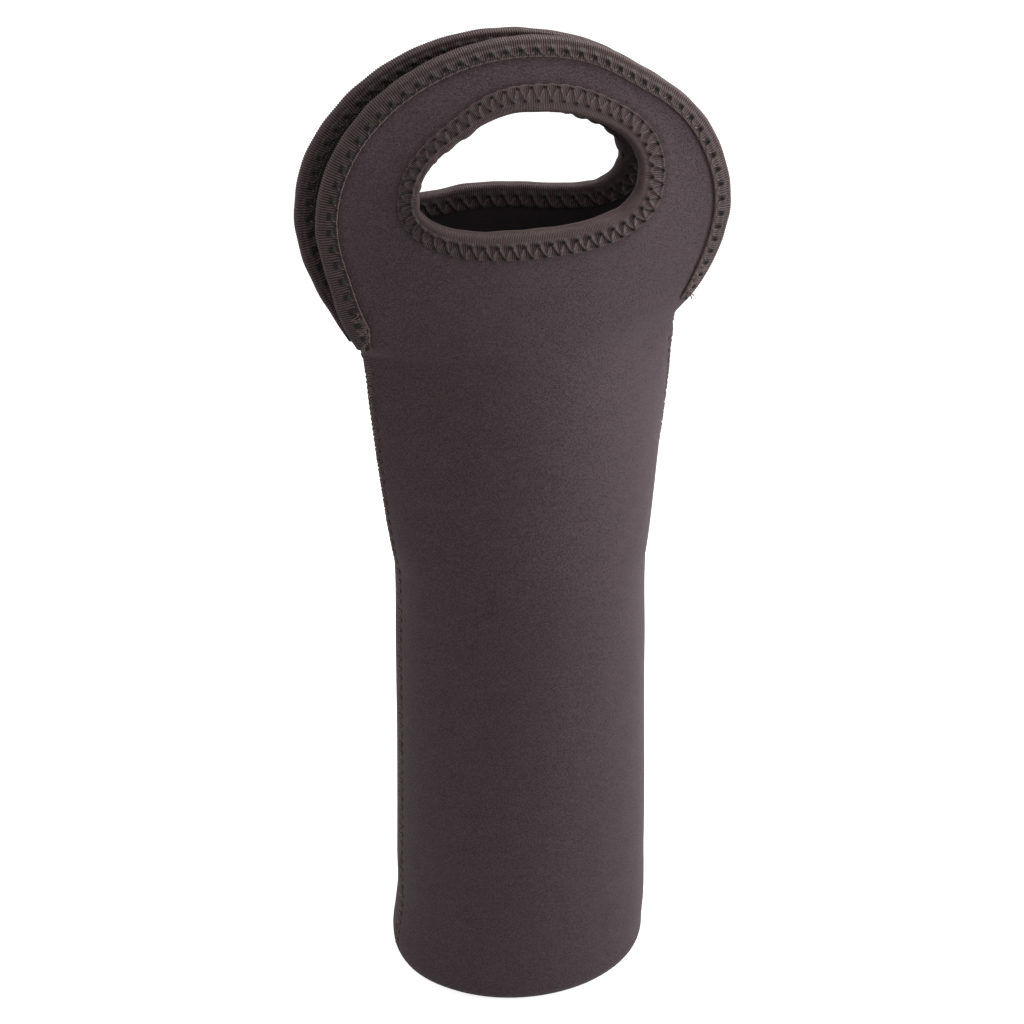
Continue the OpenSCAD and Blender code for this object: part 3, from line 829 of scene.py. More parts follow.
def tape_material():
    """Ribbed elastic tape: cords across it with painted highlight and painted shade, and painted shade
    darkest at the needle holes.
    """
    material, tree, shader = new_material("ribbed_elastic_tape", 0.55, 0.4, 0.35, TAPE_SHEEN)
    along = layer_read(tree, "cloth", "Vector")
    drawn_out = put(tree, "ShaderNodeVectorMath", along, (3.2, 0.7, 1.0), operation="MULTIPLY").outputs[0]
    fine = noise(tree, drawn_out, 1.0, 3.0)
    cloud = noise(tree, along, 0.17, 1.0)
    # The rib wave paints the cords lighter and the grooves darker: painted highlight and painted shade of
    # the ribs
    rib_shading = sum_of(tree, "POWER", layer_read(tree, "rib"), 1.6)
    tone = sum_of(tree, "MULTIPLY_ADD", rib_shading, 0.95, sum_of(tree, "MULTIPLY_ADD", fine, 0.5, -0.25))
    tone = sum_of(tree, "ADD", tone, sum_of(tree, "MULTIPLY_ADD", cloud, 0.3, -0.15))
    colour = blend_colours(tree, tone, *TAPE_TONES)
    # Painted shade: darker at the needle holes, beside the thread and inside the free edge
    shade = sum_of(tree, "MULTIPLY", layer_read(tree, "shade"), 0.95)
    colour = blend_colours(tree, shade, colour, TAPE_SHADOW)
    # Painted highlight along the free edge, where the fold catches the light
    colour = blend_colours(tree, layer_read(tree, "edge_highlight"), colour, TAPE_EDGE_HIGHLIGHT)
    join_finish(tree, shader, colour, fine, 0.5, CLOTH_BUMP)
    return material


def thread_material():
    """Bulked polyester thread, a little fuzzy and a little glossy."""
    material, tree, shader = new_material("sewing_thread", 0.5, 0.5, 0.4, THREAD_SHEEN)
    place = put(tree, "ShaderNodeTexCoord").outputs["Object"]
    fibre = noise(tree, place, 3500.0, 2.0)
    cloud = noise(tree, place, 260.0, 1.0)
    tone = sum_of(tree, "MULTIPLY_ADD", fibre, 0.8, sum_of(tree, "MULTIPLY_ADD", cloud, 0.6, -0.3))
    colour = blend_colours(tree, tone, *THREAD_TONES)
    join_finish(tree, shader, colour, fibre, 0.5, THREAD_BUMP)
    return material


# Panels

JOIN_Z = 248.0
ROW_STEP = 0.55
SEAM_TURNS = [0.7] * 6 + [1.0] * 4 + [1.6] * 4 + [3.0] * 4
MIDDLE_COLS = 14
FOOT_ROWS = 10
RING_TOP_COLS = 300
RING_ROWS = 34
# Patches of a panel are joined where their points are closer than this, in metres
PATCH_GAP = 2e-6
# A small turn, for slopes, and the number of steps in which cloth is measured
NUDGE = 1e-3
CLOTH_STEPS = 24
# How thin a panel gets at most where the sides meet, and how dark the painted shade on its inner face is
LEAST_DEPTH = 0.05
INSIDE_SHADE = 0.85


def turns():
    """Angles across a panel, close together near its side seams."""
    half = np.concatenate([[0.0], np.cumsum(SEAM_TURNS)])
    rest = np.linspace(half[-1], 90.0, MIDDLE_COLS + 1)[1:]
    half = np.concatenate([half, rest]) - 90.0
    return np.radians(np.concatenate([half, -half[-2::-1]]))


def panel_point(turn, z, inset):
    """A point of a panel in the sleeve and up to the handle, inset below the outer face."""
    edge = np.maximum(LEAST_DEPTH, side_depth(z) - inset)
    middle = middle_depth(z) - inset
    lie = np.maximum(0, np.cos(turn)) ** (2 * bow_power(z))
    parted = eased((z - SHOULDER_Z) / (CROTCH_Z - SHOULDER_Z))
    half = outline_half_width(z) - inset * (1 - parted)
    return half * np.sin(turn), mix(edge, middle, lie)


def across_cloth(turn, z):
    """Length of cloth from the middle of the panel to a point of it."""
    way = turn[..., None] * (np.arange(CLOTH_STEPS) + 0.5) / CLOTH_STEPS
    z = np.asarray(z)[..., None] * np.ones(CLOTH_STEPS)
    x1, y1 = panel_point(way - NUDGE, z, 0)
    x2, y2 = panel_point(way + NUDGE, z, 0)
    return (np.hypot(x2 - x1, y2 - y1) / (2 * NUDGE)).mean(-1) * turn


def seam_relief(turn, z, off):
    """The groove where two panels meet, the pillows between its stitches and the needle holes."""
    pillow = 0.5 - 0.5 * np.cos(2 * np.pi * z / SEAM_PITCH)
    loose = eased((z - SHOULDER_Z + 30) / 50)
    fade = eased((PARTING_Z + 2 - z) / 6) * eased((z - 2) / 8)
    groove = -0.7 * bell(off, 0.7)
    swell = mix(0.22, 0.85, loose) * (pillow ** 0.6 - 0.5) * bell(off - 1.0, 1.6)
    along = (np.mod(z / SEAM_PITCH + 0.5, 1.0) - 0.5) * SEAM_PITCH
    hole = bell(np.hypot((along + 0.5 * (off - 2.1)) * 0.8, off - 2.1), 0.5)
    return (groove + swell - mix(0.5, 0.9, loose) * hole) * fade, hole * fade


def foot_rows(turn, depth, sign):
    """Rows of a panel's rounded foot, from the underside up to where the wall starts."""
    corner = CORNER_R - depth
    rows = []
    for angle in np.linspace(0, math.pi / 2, FOOT_ROWS + 1)[:-1]:
        x, d = panel_point(turn, np.full_like(turn, CORNER_R), CORNER_R - corner * math.sin(angle))
        rows.append(np.stack([x, sign * d, np.full_like(x, CORNER_R - corner * math.cos(angle))], -1))
    return np.stack(rows)


def sewn_wall(t, z, x, d):
    """The outer face of the wall with its seam grooves, and how far each point is in a needle hole."""
    ax, ad = panel_point(t - NUDGE, z, 0)
    bx, bd = panel_point(t + NUDGE, z, 0)
    run = np.hypot(bx - ax, bd - ad)
    step_x = np.diff(x, axis=1, prepend=x[:, :1])
    step_d = np.diff(d, axis=1, prepend=d[:, :1])
    off = np.cumsum(np.hypot(step_x, step_d), 1)
    off = np.minimum(off, off[:, -1:] - off)
    lift, holes = seam_relief(t, z, off)
    sideways = eased((PARTING_Z - z) / 4) * bell(off, 2.0)
    x = x + lift * mix((ad - bd) / run, np.sign(t), sideways)
    d = np.maximum(LEAST_DEPTH, d + lift * mix((bx - ax) / run, 0, sideways))
    return x, d, holes


def sleeve_faces(side):
    """Outer and inner grid of the part of a panel below its handle, with its cloth places."""
    turn = turns()
    sign = SIDES[side][0]
    rows_z = np.linspace(CORNER_R, JOIN_Z, int((JOIN_Z - CORNER_R) / ROW_STEP) + 1)
    t, z = np.meshgrid(turn, rows_z)
    faces = []
    for depth in (0.0, SHEET_T):
        x, d = panel_point(t, z, depth)
        if depth == 0:
            x, d, holes = sewn_wall(t, z, x, d)
        grid = np.concatenate([foot_rows(turn, depth, sign), np.stack([x, sign * d, z], -1)])
        grid[..., 0] += hand_set(grid[..., 0], grid[..., 2], "front")
        faces.append(grid)
    heights = np.concatenate([np.linspace(-3.5, CORNER_R - 1.2, FOOT_ROWS), rows_z])
    t, v = np.meshgrid(turn, heights)
    holes = np.concatenate([np.zeros((FOOT_ROWS, len(turn))), holes])
    # The third cloth value darkens the needle holes with painted shade
    cloth = np.stack([across_cloth(t, np.maximum(v, CORNER_R)), v, holes], -1)
    return faces[0], faces[1], cloth


def seats_on(edge, x, z):
    """Distance into the sheet from a finished edge, and the length along it, for flat points."""
    tree = KDTree(len(edge.points))
    for i, (px, pz) in enumerate(edge.points):
        tree.insert((px, pz, 0.0), i)
    tree.balance()
    found = [tree.find((a, b, 0.0))[1:] for a, b in zip(x.ravel(), z.ravel())]
    index = np.array([f[0] for f in found])
    return np.array([f[1] for f in found]).reshape(x.shape), edge.at[index].reshape(x.shape)


def needle_relief(tape, x, z):
    """The sheet swells beside a tape and is drawn down where the thread goes in."""
    off, s = seats_on(tape.edge, x, z)
    past = off - tape.width * tape.breadth(s)
    from_hole = (np.mod(tape.edge.sewn_at(s) / tape.pitch, 1.0) - 0.5) * tape.pitch
    return 0.2 * bell(past - 2.4, 1.7) - 0.3 * bell(from_hole, 0.9) * bell(past - 0.3, 0.6)


def handle_border(turn):
    """The border of a panel's handle part: its cut edge, and then its join with the sleeve."""
    x_low, _ = panel_point(turn, np.full_like(turn, JOIN_Z), 0)
    low = np.stack([x_low[::-1], np.full_like(x_low, JOIN_Z)], -1)
    rise = np.linspace(JOIN_Z, CROTCH_Z, 60)
    flank = np.stack([-outline_half_width(rise), rise], -1)
    tip = math.atan2(float(outline_half_width(CROTCH_Z + 0.01)), CROTCH_Z - WIDEST_Z)
    over = handle_outline(np.linspace(-tip, tip, 1600))
    line = np.vstack([flank[:-1], over, flank[-2::-1] * (-1, 1)])
    cut = CUT_BACK * eased((line[:, 1] - CROTCH_Z) / 6)
    line = line + normals_of(line, False) * cut[:, None]
    at = lengths_along(line)
    picks = np.linspace(0, at[-1], RING_TOP_COLS + 1)
    top = np.stack([np.interp(picks, at, line[:, i]) for i in (0, 1)], -1)
    return np.vstack([top, low[1:-1]]), len(top)


def ring_faces(side):
    """Outer and inner grid of the handle part of a panel, from the hole to its border."""
    border, top_count = handle_border(turns())
    aim = np.arctan2(border[:, 0], border[:, 1] - GRIP_Z)
    hole_normals = normals_of(grip_outline(np.linspace(0, 2 * math.pi, 721), side), False)
    nearest = np.round(np.degrees(np.mod(aim, 2 * math.pi)) * 2).astype(int) % 720
    hole = grip_outline(aim, side) - CUT_BACK * hole_normals[nearest]
    share = np.linspace(0, 1, RING_ROWS)[None, :]
    x = mix(hole[:, :1], border[:, :1], share)
    z = mix(hole[:, 1:], border[:, 1:], share)
    grids = []
    for depth in (0.0, SHEET_T):
        half = outline_half_width(z)
        parted = eased((z - SHOULDER_Z) / (CROTCH_Z - SHOULDER_Z))
        d = np.maximum(LEAST_DEPTH, face_depth(x, z, side) - depth)
        px = x * (1 - depth * (1 - parted) * (z < CROTCH_Z) / half)
        if depth == 0:
            d = d + needle_relief(EDGE_TAPE, x, z) * eased((z - CROTCH_Z) / 5)
            d = d + needle_relief(GRIP_TAPES[side], x, z)
            d = np.maximum(LEAST_DEPTH, d)
        grids.append(leaned(px, z, d, side))
    lean_turn = np.arcsin(np.clip(x / bow_half_width(z), -1, 1))
    cloth = np.stack([across_cloth(lean_turn, z), z, np.zeros_like(z)], -1)
    return grids[0], grids[1], cloth, top_count


def make_panel(side, material):
    """One continuous panel: sleeve half and handle, both faces, all edges closed."""
    outer, inner, cloth = sleeve_faces(side)
    ring_out, ring_in, ring_cloth, top_count = ring_faces(side)
    ring_out[top_count - 1:, -1] = outer[-1][::-1][:len(ring_out) - top_count + 1]
    ring_in[top_count - 1:, -1] = inner[-1][::-1][:len(ring_in) - top_count + 1]
    ring_out[0, -1], ring_in[0, -1] = outer[-1][0], inner[-1][0]
    # The inner face is darkened by painted shade, carried in the cloth layer's third value
    painted_inside_shade = (0, 0, INSIDE_SHADE)
    patches = [(outer, cloth, False, False), (inner, cloth * (1, 1, 0) + painted_inside_shade, False, False),
               (ring_out, ring_cloth, True, False), (ring_in, ring_cloth + painted_inside_shade, True, False)]

    def rim(a, b, ca, cb, close):
        patches.append((np.stack([a, b]), np.stack([ca, cb]), False, close))

    rim(outer[0], inner[0], cloth[0], cloth[0], False)
    rim(outer[:, 0], inner[:, 0], cloth[:, 0], cloth[:, 0], False)
    rim(outer[:, -1], inner[:, -1], cloth[:, -1], cloth[:, -1], False)
    rim(ring_out[:top_count, -1], ring_in[:top_count, -1],
        ring_cloth[:top_count, -1], ring_cloth[:top_count, -1], False)
    rim(ring_out[:, 0], ring_in[:, 0], ring_cloth[:, 0], ring_cloth[:, 0], True)
    points, places, quads, start = [], [], [], 0
    for grid, lie, close_rows, close_cols in patches:
        rows, cols = grid.shape[:2]
        points.append(grid.reshape(-1, 3))
        places.append(lie.reshape(-1, 3))
        quads.append(grid_faces(rows, cols, start, close_rows, close_cols))
        start += rows * cols
    mesh = mesh_from(f"{side}_panel", np.concatenate(points), np.concatenate(quads))
    write_layer(mesh, "cloth", np.concatenate(places))
    close_shell(mesh, gap=PATCH_GAP)
    mesh.materials.append(material)
    return piece_of(f"{side}_panel", mesh)


# Binding tape

# How far a point is moved to find which way is inward for it
WAY_STEP = 0.05


def tape_profile(tape_w):
    """The tape's section round a sheet's edge, how many of its points are outside, and which way is in.

    Across is in from the edge, and high is off the outer face.
    """
    reach = SHEET_T / 2 + TAPE_T
    flat = np.arange(tape_w, NOSE_DEPTH + 0.2, -0.4)
    bend = np.linspace(math.pi / 2, -math.pi / 2, 15)
    inner_flat = np.linspace(NOSE_DEPTH + 0.6, tape_w, 9)
    outside = np.concatenate([
        np.stack([flat, np.full_like(flat, TAPE_T)], -1),
        np.stack([NOSE_DEPTH * (1 - np.cos(bend) ** 0.85), reach * np.sin(bend) - SHEET_T / 2], -1),
        np.stack([inner_flat, np.full_like(inner_flat, -SHEET_T - TAPE_T)], -1)])
    gap = 0.12
    inside = np.array([
        (tape_w + 0.05, -SHEET_T - TAPE_T / 2), (tape_w, -SHEET_T - gap), (NOSE_DEPTH, -SHEET_T - gap),
        (0.9, -SHEET_T * 0.75), (0.75, -SHEET_T / 2), (0.9, -SHEET_T * 0.25), (NOSE_DEPTH, gap),
        (tape_w, gap), (tape_w + 0.05, TAPE_T / 2)])
    step = np.gradient(outside, axis=0)
    inward = np.stack([-step[:, 1], step[:, 0]], -1) / np.linalg.norm(step, axis=1, keepdims=True)
    inward = np.vstack([inward, np.zeros_like(inside)])
    return np.vstack([outside, inside]), len(outside), inward.T[:, None]


def make_tape(name, tape, side, tree, material):
    """Binding tape folded round an edge: roll, stitched band, drawn-in free edges and ribs."""
    edge = tape.edge
    profile, out_count, (inward_x, inward_z) = tape_profile(tape.width)
    rows = tape.ribs * ROWS_PER_RIB + (0 if edge.closed else 1)
    q = np.linspace(0, edge.length, rows, endpoint=not edge.closed)[:, None]
    s = np.interp(q, edge.sewn, edge.at)
    across, high = profile[None, :, 0] + 0 * s, profile[None, :, 1] + 0 * s
    on_out = (np.arange(len(profile)) < out_count)[None, :]
    upper = high > -SHEET_T / 2
    # Painted shade for the tape's material
    shade = tape_shade(tape, q, across) * on_out
    roll = np.clip((tape.band[0] - across) / tape.band[0], 0, 1)
    ripple = np.sin(s / 3.1 + 1.0) * np.sin(s / 11.0) + np.sin(s / 1.9 + 2.0)
    relief = stitch_relief(tape, q, across) * np.where(upper, 1.0, 0.8)
    # The relief is turned in towards the sheet: puffs sink, and needle holes stand up as small tips
    push = np.where(on_out, relief + 0.05 * ripple * (0.4 + roll) + tape.knuckles(s) * roll, 0)
    free = np.clip((across - tape.band[1] + 0.8) / 1.2, 0, 1)
    drawn = bell((np.mod(q / tape.pitch, 1.0) - 0.5) * tape.pitch, 0.27 * tape.pitch)
    across = across + push * inward_x + free * tape.scallop * (0.55 - drawn)
    high = high + push * inward_z - free * on_out * upper * 0.35 * drawn
    rib_share = on_out * (1 - 0.45 * held(across - tape.band[0]))
    here = onto_sheet(tape, side, s, across, high)
    way = onto_sheet(tape, side, s, across + WAY_STEP * inward_x, high + WAY_STEP * inward_z) - here
    way /= np.maximum(1e-9, np.linalg.norm(way, axis=-1, keepdims=True))
    flat = 0 * across
    layers = {
        "inward": way * on_out[..., None],
        "rib_turn": 2 * np.pi * tape.ribs * (q / edge.length) + flat,
        "rib_share": rib_share,
        "shade": shade,
        # The free edge's painted highlight line
        "edge_highlight": tape.edge_highlight * (profile[None, :, 0] > tape.width - 0.1) * upper,
        "cloth": np.stack([q + flat, lengths_along(profile)[None, :] + flat, flat], -1)}
    mesh = mesh_from(name, here.reshape(-1, 3), grid_faces(*flat.shape, 0, edge.closed, True))
    for layer, values in layers.items():
        write_layer(mesh, layer, values)
    close_shell(mesh, cap=not edge.closed)
    return run_tree(piece_of(name, mesh), tree, {"Rib depth": tape.rib * MM, "Material": material}, name)


# Stitching

LEG_POINTS = 12
BACKTACK_PITCH = 2.3
# How far past the band the outer needle holes lie, and how long a tape's end is left unsewn
HOLE_PAST = 0.45
END_GAP = 4.5
# Backtack rows: start as a share, and height over the tape. Cut tails: how far out and how far down
BACKTACK_ROWS = ((0.0, 0.3), (0.4, 0.45), (0.75, 0.6))
BACKTACK_RUN = (2.6, 15.5)
TAILS = ((1.7, 1.1), (0.7, 2.0))


def zigzag_lines(tape, side, upper):
    """The thread of a zigzag on one face: down a needle hole at each turn and over the tape between."""
    row = (tape.band[0], tape.band[1] + HOLE_PAST)
    steps = np.arange(0, 2 * tape.pairs * LEG_POINTS + (0 if tape.edge.closed else 1))
    q = steps * tape.pitch / (2 * LEG_POINTS)
    across = zigzag_across(q, tape.pitch, row)
    share = held((across - row[0]) / (row[1] - row[0]))
    high = TAPE_T + np.maximum(stitch_relief(tape, q, across), -0.7) + tape.thread
    high = high - 1.0 * bell(share, 0.14) - 1.1 * bell(1 - share, 0.1)
    if not tape.edge.closed:
        keep = (q > END_GAP) & (q < tape.edge.length - END_GAP)
        q, across, high = q[keep], across[keep], high[keep]
    return thread_on(tape, side, q, across, high if upper else -SHEET_T - high)


def thread_on(tape, side, q, across, high):
    """Places of a thread that lies at a height over the tape."""
    return onto_sheet(tape, side, np.interp(q, tape.edge.sewn, tape.edge.at), across, high)


def backtack_lines(side):
    """The ends of an edge tape, sewn over again and again in a tight zigzag, with cut thread tails."""
    lines = []
    for end in (-1, 1):
        for start, lift in BACKTACK_ROWS:
            run = np.arange(BACKTACK_RUN[0], BACKTACK_RUN[1] - 3.0 * start, BACKTACK_PITCH / 16)
            q = run if end < 0 else OUTER.length - run
            across = zigzag_across(run + start * BACKTACK_PITCH, BACKTACK_PITCH, (3.0 + start, 7.0))
            high = TAPE_T + np.maximum(stitch_relief(EDGE_TAPE, q, across), -0.5) + lift
            lines.append(thread_on(EDGE_TAPE, side, q, across, high))
        cut = lines[-1][0]
        for out, drop in TAILS:
            way = np.linspace(0, 1, 9)[:, None]
            lines.append(cut + np.array([end * out, SIDES[side][0] * 0.5, -drop]) * way ** [0.8, 1.0, 1.5])
    return lines


def thread_path(name, lines, closed=False):
    """The lines that a thread follows, as a mesh of edges for a node tree."""
    edges, start = [], 0
    for line in lines:
        count = len(line)
        edges += [(start + i, start + (i + 1) % count) for i in range(count if closed else count - 1)]
        start += count
    mesh = bpy.data.meshes.new(name)
    mesh.from_pydata((np.vstack(lines) * MM).tolist(), edges, [])
    return piece_of(name, mesh)


def make_thread(name, lines, closed, tree, material):
    """Sewing thread along one or more lines."""
    values = {"Width": THREAD_W * MM, "Ply turn": PLY_TURN * MM, "Ring step": RING_STEP * MM,
              "Material": material}
    return run_tree(thread_path(name, lines, closed), tree, values, name)


def make_wraps(name, line, loop, spacing, unevenness, tree, material):
    """Thread wound round a line in loops, given by their radius, squash and thread width."""
    radius, squash, width = loop
    values = {"Loop radius": radius * MM, "Loop squash": squash, "Width": width * MM,
              "Spacing": spacing * MM, "Unevenness": unevenness, "Material": material}
    return run_tree(thread_path(name, [line]), tree, values, name)


def side_x(y, z):
    """Distance of the sleeve's surface from the middle at a distance y from the seam plane."""
    edge, middle = side_depth(z), middle_depth(z)
    share = held((np.abs(y) - edge) / (middle - edge))
    return outline_half_width(z) * np.sqrt(1 - share ** (1 / bow_power(z)))


def on_seam(hand, x, y, z):
    """Points of a side seam, at a distance out on the left or right hand."""
    return np.stack([hand * x + hand_set(hand * x, z, "front"), y, z], -1)


def seam_lines(hand):
    """Two threads that cross the side seam half a stitch apart, and the close cover stitch between them."""
    lines = []
    for start, reach in ((0.0, SEAM_W / 2 + 0.15), (0.5, SEAM_W / 2 - 0.25)):
        z = np.arange(SEAM_START_Z, PARTING_Z + 3.0, SEAM_PITCH / 16)
        y = reach * np.clip(1.25 * np.cos(2 * np.pi * (z / SEAM_PITCH + start)), -1, 1)
        dip = bell(reach - np.abs(y), 0.35)
        lines.append(on_seam(hand, side_x(y, z) + 0.32 - 0.8 * dip - 0.3 * bell(y, 0.7), y, z))
    z = np.arange(SEAM_START_Z, PARTING_Z - 2.0, COVER_PITCH / 16)
    turn = 2 * np.pi * z / COVER_PITCH + 0.8 * np.sin(z / 5.3)
    y = (1.45 + 0.15 * np.sin(z / 2.9)) * np.clip(1.2 * np.cos(turn), -1, 1)
    x = side_x(y, z) + 0.12 - 0.35 * bell(y, 0.5) + 0.12 * np.sin(z / 3.7)
    return lines + [on_seam(hand, x, y, z)]


def make_bartack(name, hand, tree, material):
    """Thread wound densely over the end of a side seam."""
    z = CROTCH_Z - 2.0
    x = hand * (float(outline_half_width(z)) - (0.9 if hand < 0 else 1.0))
    if hand > 0:
        x += float(hand_set(x, z, "front"))
    y = np.linspace(-BARTACK_REACH, BARTACK_REACH, 30)
    line = np.stack([np.full_like(y, x), y, z + 0.4 * np.cos(y / 1.6)], -1)
    return make_wraps(name, line, BARTACK_LOOP, 0.42, 0.16, tree, material)


jersey = jersey_material()
tape_finish = tape_material()
thread_finish = thread_material()
ribs = ribbed_tree()
threads = thread_tree()
wraps = wrap_tree()


def bend(piece, side):
    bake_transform(piece)
    return piece


for side in SIDES:
    panel = make_panel(side, jersey)
    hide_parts(f"{side}_body_panel", f"{side}_handle_panel")
    bend(panel, side)

    tape = make_tape(f"{side}_edge_tape", EDGE_TAPE, side, ribs, tape_finish)
    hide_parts(f"{side}_edge_binding")
    bend(tape, side)

    tape = make_tape(f"{side}_grip_tape", GRIP_TAPES[side], side, ribs, tape_finish)
    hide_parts(f"{side}_grip_binding")
    bend(tape, side)

    lines = [zigzag_lines(EDGE_TAPE, side, upper) for upper in (True, False)] + backtack_lines(side)
    stitches = make_thread(f"{side}_edge_zigzag", lines, False, threads, thread_finish)
    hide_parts(f"{side}_edge_stitching")
    bend(stitches, side)

    lines = [zigzag_lines(GRIP_TAPES[side], side, upper) for upper in (True, False)]
    stitches = make_thread(f"{side}_grip_zigzag", lines, True, threads, thread_finish)
    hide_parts(f"{side}_grip_stitching")
    bend(stitches, side)

for hand, word in ((-1, "left"), (1, "right")):
    seam = make_thread(f"{word}_flat_seam", seam_lines(hand), False, threads, thread_finish)
    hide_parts(f"{word}_side_seam")
    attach(seam, "sleeve")
    tack = make_bartack(f"{word}_seam_end_tack", hand, wraps, thread_finish)
    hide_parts(f"{word}_bartack")
    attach(tack, "sleeve")


# Base

BASE_COLS = 160
BASE_ROUND = 1.2
# How far the base and the overlocked joint lie in from the sleeve's foot
BASE_GAP = 0.2
OVERLOCK_GAP = 1.75
OVERLOCK_Z = 5.6
OVERLOCK_LOOP = (1.55, 0.85, 0.55)


def foot_oval(around, gap, share, z):
    """Points of an oval inside the sleeve's foot, by their angle, at a share of its size."""
    half_w, half_d = BASE_HALF_W - CORNER_R - gap, BASE_HALF_D - CORNER_R - gap
    return np.stack([half_w * share * np.cos(around), half_d * share * np.sin(around), z + 0 * around], -1)


def make_base(material):
    """The base: an oval of the same sheet with softly rounded edges."""
    shares = np.concatenate([np.linspace(0.0, 0.94, 26)[1:], [0.97, 0.99, 1.0]])
    soft = BASE_ROUND * (1 - np.sqrt(np.maximum(0, 1 - held((shares - 0.97) / 0.03) ** 2)))
    around = np.linspace(0, 2 * math.pi, BASE_COLS, endpoint=False)
    under = [foot_oval(around, BASE_GAP, *row) for row in zip(shares, soft)]
    over = [foot_oval(around, BASE_GAP, *row) for row in zip(shares, SHEET_T - soft)]
    rows = under + over[::-1]
    places = np.concatenate(rows)
    mesh = mesh_from("base", places, grid_faces(len(rows), BASE_COLS, 0, False, True))
    write_layer(mesh, "cloth", places * (1, 1, 0))
    close_shell(mesh, cap=True, fan=True)
    mesh.materials.append(material)
    return piece_of("base", mesh)


base = make_base(jersey)
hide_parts("base_panel")
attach(base, "sleeve")


def make_base_seam(tree, material):
    """Overlock loops along the edge of the base, up inside the sleeve."""
    line = foot_oval(np.linspace(0, 2 * math.pi, 240), OVERLOCK_GAP, 1.0, OVERLOCK_Z)
    return make_wraps("base_overlock", line, OVERLOCK_LOOP, 1.1, 0.2, tree, material)


overlock = make_base_seam(wraps, thread_finish)
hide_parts("base_seam")
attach(overlock, "sleeve")


# Studio

FLOOR_REACH = 4.0
# The floor's own tone and glow to the camera, and its tone to everything that it lights
FLOOR_TONE = (0.82, 0.82, 0.82, 1.0)
FLOOR_GLOW = 0.8
FLOOR_DULL = (0.5, 0.5, 0.5, 1.0)
WHITE = (1.0, 1.0, 1.0, 1.0)
# The room's light: its colour, its level, and how much brighter it gets towards one side
ROOM_COLOUR = (1.0, 0.99, 0.98, 1.0)
ROOM_LIGHT = 0.51
ROOM_SLOPE = (-0.385, -0.033, 0.0)


def studio():
    """A pale floor and a room that both stay white to the camera."""
    floor_mesh = bpy.data.meshes.new("floor")
    reach = FLOOR_REACH
    floor_mesh.from_pydata([(-reach, -reach, 0), (reach, -reach, 0), (reach, reach, 0), (-reach, reach, 0)],
                           [], [(0, 1, 2, 3)])
    floor = piece_of("floor", floor_mesh)
    material = bpy.data.materials.new("pale_floor")
    material.use_nodes = True
    tree = material.node_tree
    tree.nodes.clear()
    seen = put(tree, "ShaderNodeLightPath").outputs["Is Camera Ray"]
    matte = put(tree, "ShaderNodeBsdfDiffuse", FLOOR_TONE).outputs[0]
    dull = put(tree, "ShaderNodeBsdfDiffuse", FLOOR_DULL).outputs[0]
    white = put(tree, "ShaderNodeEmission", WHITE, FLOOR_GLOW).outputs[0]
    both = put(tree, "ShaderNodeAddShader", matte, white).outputs[0]
    final = put(tree, "ShaderNodeMixShader", seen, dull, both).outputs[0]
    put(tree, "ShaderNodeOutputMaterial", final)
    floor_mesh.materials.append(material)

    world = bpy.data.worlds.new("white_room")
    bpy.context.scene.world = world
    world.use_nodes = True
    tree = world.node_tree
    tree.nodes.clear()
    direct = put(tree, "ShaderNodeLightPath").outputs["Is Camera Ray"]
    facing = put(tree, "ShaderNodeTexCoord").outputs["Generated"]
    slope = put(tree, "ShaderNodeVectorMath", facing, ROOM_SLOPE, operation="DOT_PRODUCT").outputs["Value"]
    light = sum_of(tree, "ADD", slope, ROOM_LIGHT)
    soft = put(tree, "ShaderNodeBackground", ROOM_COLOUR, light).outputs[0]
    white = put(tree, "ShaderNodeBackground", WHITE, 1.0).outputs[0]
    put(tree, "ShaderNodeOutputWorld", put(tree, "ShaderNodeMixShader", direct, soft, white).outputs[0])


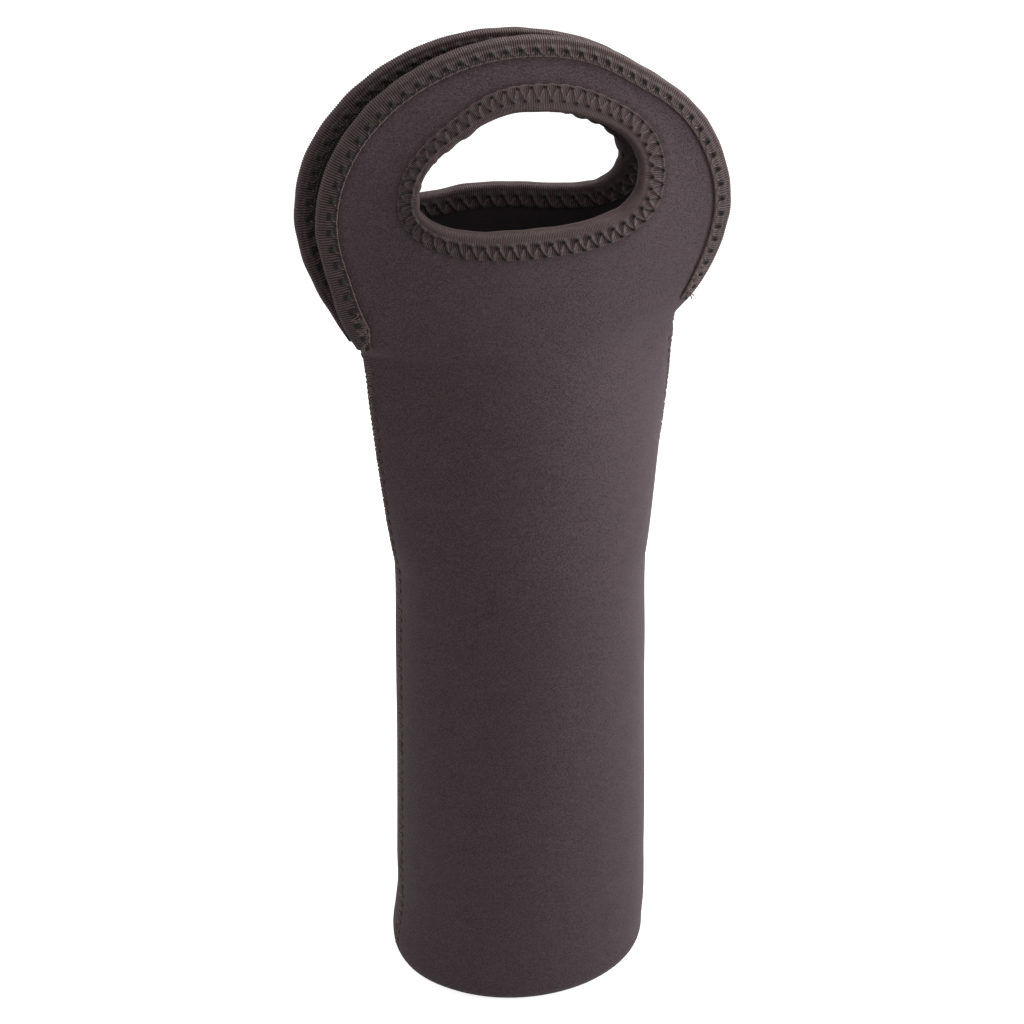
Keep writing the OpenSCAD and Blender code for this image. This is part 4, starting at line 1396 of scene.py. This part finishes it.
# Camera: fitted to the carrier's own outline in the photograph
CAMERA_TURN = math.radians(-18.9)
CAMERA_RISE = math.radians(26.37)
CAMERA_ROLL = math.radians(0.436)
CAMERA_FAR = 0.8351
CAMERA_SIDE = -0.00388
CAMERA_AIM_Z = 0.1872
CAMERA_LENS = 81.9


# Lamps: degrees turned to the right of the camera and raised, power in watts, and how far off
LAMPS = {
    "side_lamp": (82, 5, 1.32, 0.4),
    "top_lamp": (120, 65, 1.35, 0.4),
    "front_lamp": (35, 20, 0.8, 0.8),
}
LAMP_AIM = Vector((0, 0, 0.19))
LAMP_SPREAD = 0.75


def place_camera():
    """Sets the camera, and says which way is right of it and which is back towards it."""
    right = Vector((math.cos(CAMERA_TURN), math.sin(CAMERA_TURN), 0))
    back = Vector((math.sin(CAMERA_TURN) * math.cos(CAMERA_RISE),
                   -math.cos(CAMERA_TURN) * math.cos(CAMERA_RISE), math.sin(CAMERA_RISE)))
    data = bpy.data.cameras.new("camera")
    data.lens = CAMERA_LENS
    data.sensor_width = 36.0
    camera = bpy.data.objects.new("camera", data)
    camera.location = right * CAMERA_SIDE + Vector((0, 0, CAMERA_AIM_Z)) + back * CAMERA_FAR
    turn = (-back).to_track_quat("-Z", "Y") @ Euler((0, 0, CAMERA_ROLL)).to_quaternion()
    camera.rotation_euler = turn.to_euler()
    bpy.context.scene.collection.objects.link(camera)
    bpy.context.scene.camera = camera
    return right, back


def place_lamp(name, right, back, turn, rise, power, far):
    """A soft round lamp that faces the carrier's middle."""
    turn, rise = math.radians(turn), math.radians(rise)
    near = Vector((back.x, back.y, 0)).normalized()
    level = near * math.cos(turn) + right * math.sin(turn)
    way = level * math.cos(rise) + Vector((0, 0, math.sin(rise)))
    data = bpy.data.lights.new(name, "AREA")
    data.shape = "DISK"
    data.size = LAMP_SPREAD * far
    data.energy = power
    lamp = bpy.data.objects.new(name, data)
    lamp.visible_camera = False
    lamp.location = LAMP_AIM + way * far
    lamp.rotation_euler = (-way).to_track_quat("-Z", "Y").to_euler()
    bpy.context.scene.collection.objects.link(lamp)


to_right, to_camera = place_camera()
studio()
for name, settings in LAMPS.items():
    place_lamp(name, to_right, to_camera, *settings)

bpy.context.scene.view_settings.view_transform = "Standard"
